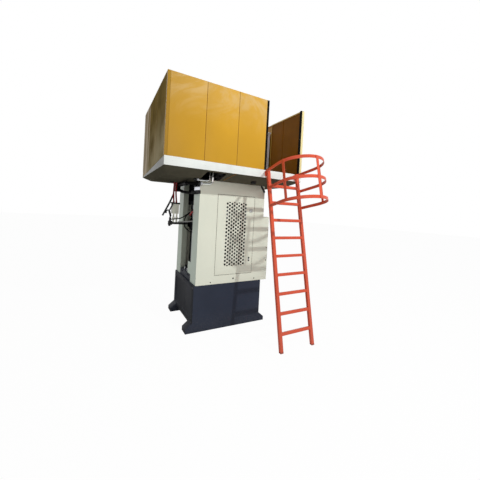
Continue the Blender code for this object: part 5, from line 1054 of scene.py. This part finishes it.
class PRESS_OT_power_unit(bpy.types.Operator):
    """Details of the oil tank and the pump set on the platform"""
    bl_idname = "press.power_unit"
    bl_label = "Power unit"

    def execute(self, context):
        count = settings()[2].fin_count
        hub = Matrix.Translation(press(MOTOR_X, 0, MOTOR_Z))
        fins = []
        for k in range(count):
            angle = math.radians(-70 + 140 * k / (count - 1))
            for side in (-1, 1):
                middle = MOTOR_X + side * 0.136
                fin = block((middle - 0.009, 0.080, MOTOR_Z - 0.002), (middle + 0.009, 0.330, MOTOR_Z + 0.002),
                            0.0008, 1)
                fin.data.transform(hub @ Matrix.Rotation(-side * angle, 4, "Y") @ hub.inverted())
                fins.append(fin)
        settle(fins, "motor_fins", "dark_grey")
        box = [block((-0.620, 0.150, 2.686), (-0.500, 0.270, 2.752), 0.006, 3),
               block((-0.628, 0.142, 2.746), (-0.492, 0.278, 2.760), 0.003, 2)]
        settle(box, "motor_terminal_box", "grey")
        settle(lathe((-0.500, 0.210, 2.716), (1, 0, 0), GLAND, 12), "motor_gland", "black")
        settle(lathe((0.020, 0.985, 3.120), (0, -1, 0), GAUGE_CASE, 28), "gauge_case", "machined")
        settle(lathe((0.020, 0.9650, 3.120), (0, -1, 0), GAUGE_DIAL, 28), "gauge_dial", "off_white")
        settle(block((0.019, 0.9605, 3.118), (0.021, 0.9628, 3.150), 0.0004, 1), "gauge_hand", "black")
        sight = [block((-0.150, 0.978, 2.620), (-0.110, 1.002, 2.920), 0.006, 2)]
        sight += [hex_head((-0.130, 0.978, z), (0, -1, 0), 0.009, 0.006) for z in (2.640, 2.900)]
        settle(sight, "level_sight", "dark_steel")
        settle(block((-0.137, 0.9745, 2.665), (-0.123, 0.9790, 2.875), 0.003, 2), "sight_glass", "glass_tube")
        lid = button_head((-0.735, 1.000, 3.2605), (0, 0, 1), 0.008, 0.005)
        offsets = [(0.2725 * a, 0.457 * b, 0) for a in range(4) for b in (0, 1) if a or b]
        settle(scattered(lid, offsets), "lid_screws", "machined")
        settle(scattered(lead(LID_HANDLE, 0.006), [(0.28, 0, 0)]), "lid_handles", "black")
        for name, finish, radius, sides, points in DECK_PIPES:
            settle(lead(points, radius, sides), name, finish)
        bolt = hex_head((0.110, 0.560, 2.960), (0, 0, 1), 0.016, 0.014)
        settle(scattered(bolt, [(-0.22, 0, 0), (-0.11, 0.11, 0), (-0.11, -0.11, 0)]), "cylinder_bolts", "machined")
        return {"FINISHED"}


class PRESS_OT_deck_tread(bpy.types.Operator):
    """Raised lozenges of the floor plate"""
    bl_idname = "press.deck_tread"
    bl_label = "Deck tread"

    def execute(self, context):
        pitch = settings()[2].tread_pitch
        pair = []
        for turn, shift in ((math.pi / 4, 0), (-math.pi / 4, pitch / 2)):
            one = begin(bpy.ops.mesh.primitive_cube_add, size=1, scale=(0.030, 0.008, 0.0024), rotation=(0, 0, turn),
                        location=press(-0.745 + shift, -0.530 + shift, 2.4032))
            pick(one, "FACE", lambda face: face.normal.z > 0.9)
            bpy.ops.mesh.inset(thickness=0.0025)
            bpy.ops.transform.translate(value=(0, 0, 0.0005))
            pair.append(done(one))
        tread = joined(pair)
        row(tread, int(1.58 / pitch), (pitch, 0, 0))
        row(tread, int(1.96 / pitch), (0, pitch, 0))
        settle(tread, "deck_tread", "dark_grey")
        return {"FINISHED"}


class PRESS_OT_ladder_details(bpy.types.Operator):
    """Weld beads, hoop bolts, end caps and the brackets of the ladder"""
    bl_idname = "press.ladder_details"
    bl_label = "Ladder details"

    def execute(self, context):
        radius = settings()[2].weld_radius
        lean = math.atan(LADDER_RUN / LADDER_RISE)
        along = Vector((-math.sin(lean), 0, math.cos(lean)))
        out = Vector((math.cos(lean), 0, math.sin(lean)))
        foot = Vector((LADDER_FOOT, 0, 0))
        beads = []
        for y in (0.8955, 1.3845):
            middle = foot + along * FIRST_RUNG - out * 0.017
            corners = [middle + along * a * 0.020 + out * b * 0.014 for a, b in ((-1, 1), (1, 1), (1, -1), (-1, -1))]
            for first, second in zip(corners, corners[1:] + corners[:1]):
                beads.append(lead([(first.x, y, first.z), (second.x, y, second.z)], radius, 1))
        rungs = [along * RUNG_PITCH * k for k in range(1, 9)]
        settle(scattered(joined(beads), rungs), "rung_welds", "orange")
        bolts = []
        for k in range(3):
            centre = foot + along * (LADDER_RISE / math.cos(lean) - 0.0315 - HOOP_PITCH * k) - out * 0.019
            bolts += [hex_head((centre.x, y, centre.z), (0, side, 0), 0.009, 0.008)
                      for y, side in ((0.849, -1), (1.431, 1))]
        settle(bolts, "hoop_bolts", "orange")
        ends = [block((1.4085, y - 0.0235, 0.0002), (1.4515, y + 0.0235, 0.016), 0.003, 2) for y in RAIL_YS]
        settle(ends, "ladder_feet", "orange_dark")
        lugs = []
        for y in RAIL_YS:
            lugs.append(block((0.9092, y - 0.045, 2.318), (0.9152, y + 0.045, 2.386), 0.002, 2))
            lugs += [hex_head((0.9152, y + side * 0.033, 2.352), (1, 0, 0), 0.008, 0.006) for side in (-1, 1)]
        settle(lugs, "ladder_lugs", "orange")
        return {"FINISHED"}


class PRESS_OT_inside(bpy.types.Operator):
    """Work area: nuts in the T-slots, and a dark rear liner and dark strips in the opening that stand in for shade"""
    bl_idname = "press.inside"
    bl_label = "Work area"

    def execute(self, context):
        tee = joined([block((-0.015, 0.020, 0.7600), (0.015, 0.050, 0.7720), 0.001, 1),
                      lathe((0, 0.035, 0.770), (0, 0, 1), [(0.008, 0), (0.008, 0.050), (0.007, 0.052)], 14),
                      lathe((0, 0.035, 0.7805), (0, 0, 1), [(0.014, 0), (0.014, 0.014), (0.012, 0.016)], 6)])
        settle(scattered(tee, [(-0.13, 0, 0), (0.12987, 0, 0)]), "slot_nuts", "machined")
        # Dark liner: painted shade at the back of the work area
        liner = tray((-0.440, 1.0950, 0.790), (0.440, 1.1120, 1.840), (0, -1, 0), 0.030, 0.008)
        settle(liner, "rear_shade_liner", "dark_inside")
        # Dark strips: painted shade on the inner flange of the near upright
        strips = [block((0.2640, 0.0030, z), (0.2665, 0.0850, z + 0.10), 0.001, 1) for z in (1.000, 1.900)]
        settle(strips, "opening_shade_strips", "dark_inside")
        return {"FINISHED"}


class PRESS_OT_rear_details(bpy.types.Operator):
    """Louvres on the rear cover, and a hatch with its handle and hinges on the far side"""
    bl_idname = "press.rear_details"
    bl_label = "Rear details"

    def execute(self, context):
        slat = begin(bpy.ops.mesh.primitive_cube_add, size=1, location=press(0, 1.2270, 1.080),
                     scale=(0.42, 0.004, 0.020))
        pick(slat, "FACE", lambda face: face.normal.z < -0.9)
        bpy.ops.transform.translate(value=(0, 0.008, 0))
        done(slat)
        settle(scattered(slat, [(0, 0, 0.040 * k) for k in range(1, 12)]), "rear_louvres", "cream")
        hatch = tray((-0.5182, 0.330, 0.860), (-0.5160, 0.900, 1.960), (-1, 0, 0), 0.024, 0.0010)
        settle(hatch, "far_hatch", "cream")
        grip = [(-0.518, 0.840, 1.360), (-0.534, 0.840, 1.365), (-0.540, 0.840, 1.400), (-0.540, 0.840, 1.440),
                (-0.534, 0.840, 1.475), (-0.518, 0.840, 1.480)]
        settle(lead(grip, 0.006), "hatch_handle", "black")
        barrel = [(0.005, 0), (0.007, 0.003), (0.007, 0.077), (0.005, 0.080)]
        hinge = lathe((-0.5200, 0.326, 0.960), (0, 0, 1), barrel, 14)
        settle(scattered(hinge, [(0, 0, 0.40), (0, 0, 0.80)]), "hatch_hinges", "machined")
        return {"FINISHED"}


class PRESS_PT_panel(bpy.types.Panel):
    """Steps of the dressing, in order"""
    bl_idname = "PRESS_PT_panel"
    bl_label = "Hydraulic press"
    bl_space_type = "VIEW_3D"
    bl_region_type = "UI"
    bl_category = "Press"

    def draw(self, context):
        for operator in OPERATORS:
            self.layout.operator(operator.bl_idname)


OPERATORS = (
    PRESS_OT_camera, PRESS_OT_stage, PRESS_OT_finishes, PRESS_OT_sheets, PRESS_OT_vent, PRESS_OT_door_trim,
    PRESS_OT_screws, PRESS_OT_wall_trim, PRESS_OT_brace, PRESS_OT_hose_fittings, PRESS_OT_leads,
    PRESS_OT_power_unit, PRESS_OT_deck_tread, PRESS_OT_ladder_details, PRESS_OT_inside, PRESS_OT_rear_details,
)
CLASSES = (PressCameraSettings, PressLightSettings, PressDetailSettings, *OPERATORS, PRESS_PT_panel)


def register():
    for item in CLASSES:
        bpy.utils.register_class(item)
    bpy.types.Scene.press_camera = PointerProperty(type=PressCameraSettings)
    bpy.types.Scene.press_light = PointerProperty(type=PressLightSettings)
    bpy.types.Scene.press_detail = PointerProperty(type=PressDetailSettings)


def unregister():
    del bpy.types.Scene.press_camera
    del bpy.types.Scene.press_light
    del bpy.types.Scene.press_detail
    for item in reversed(CLASSES):
        bpy.utils.unregister_class(item)


def main():
    register()
    for operator in OPERATORS:
        group, name = operator.bl_idname.split(".")
        getattr(getattr(bpy.ops, group), name)()


if __name__ == "__main__":
    main()
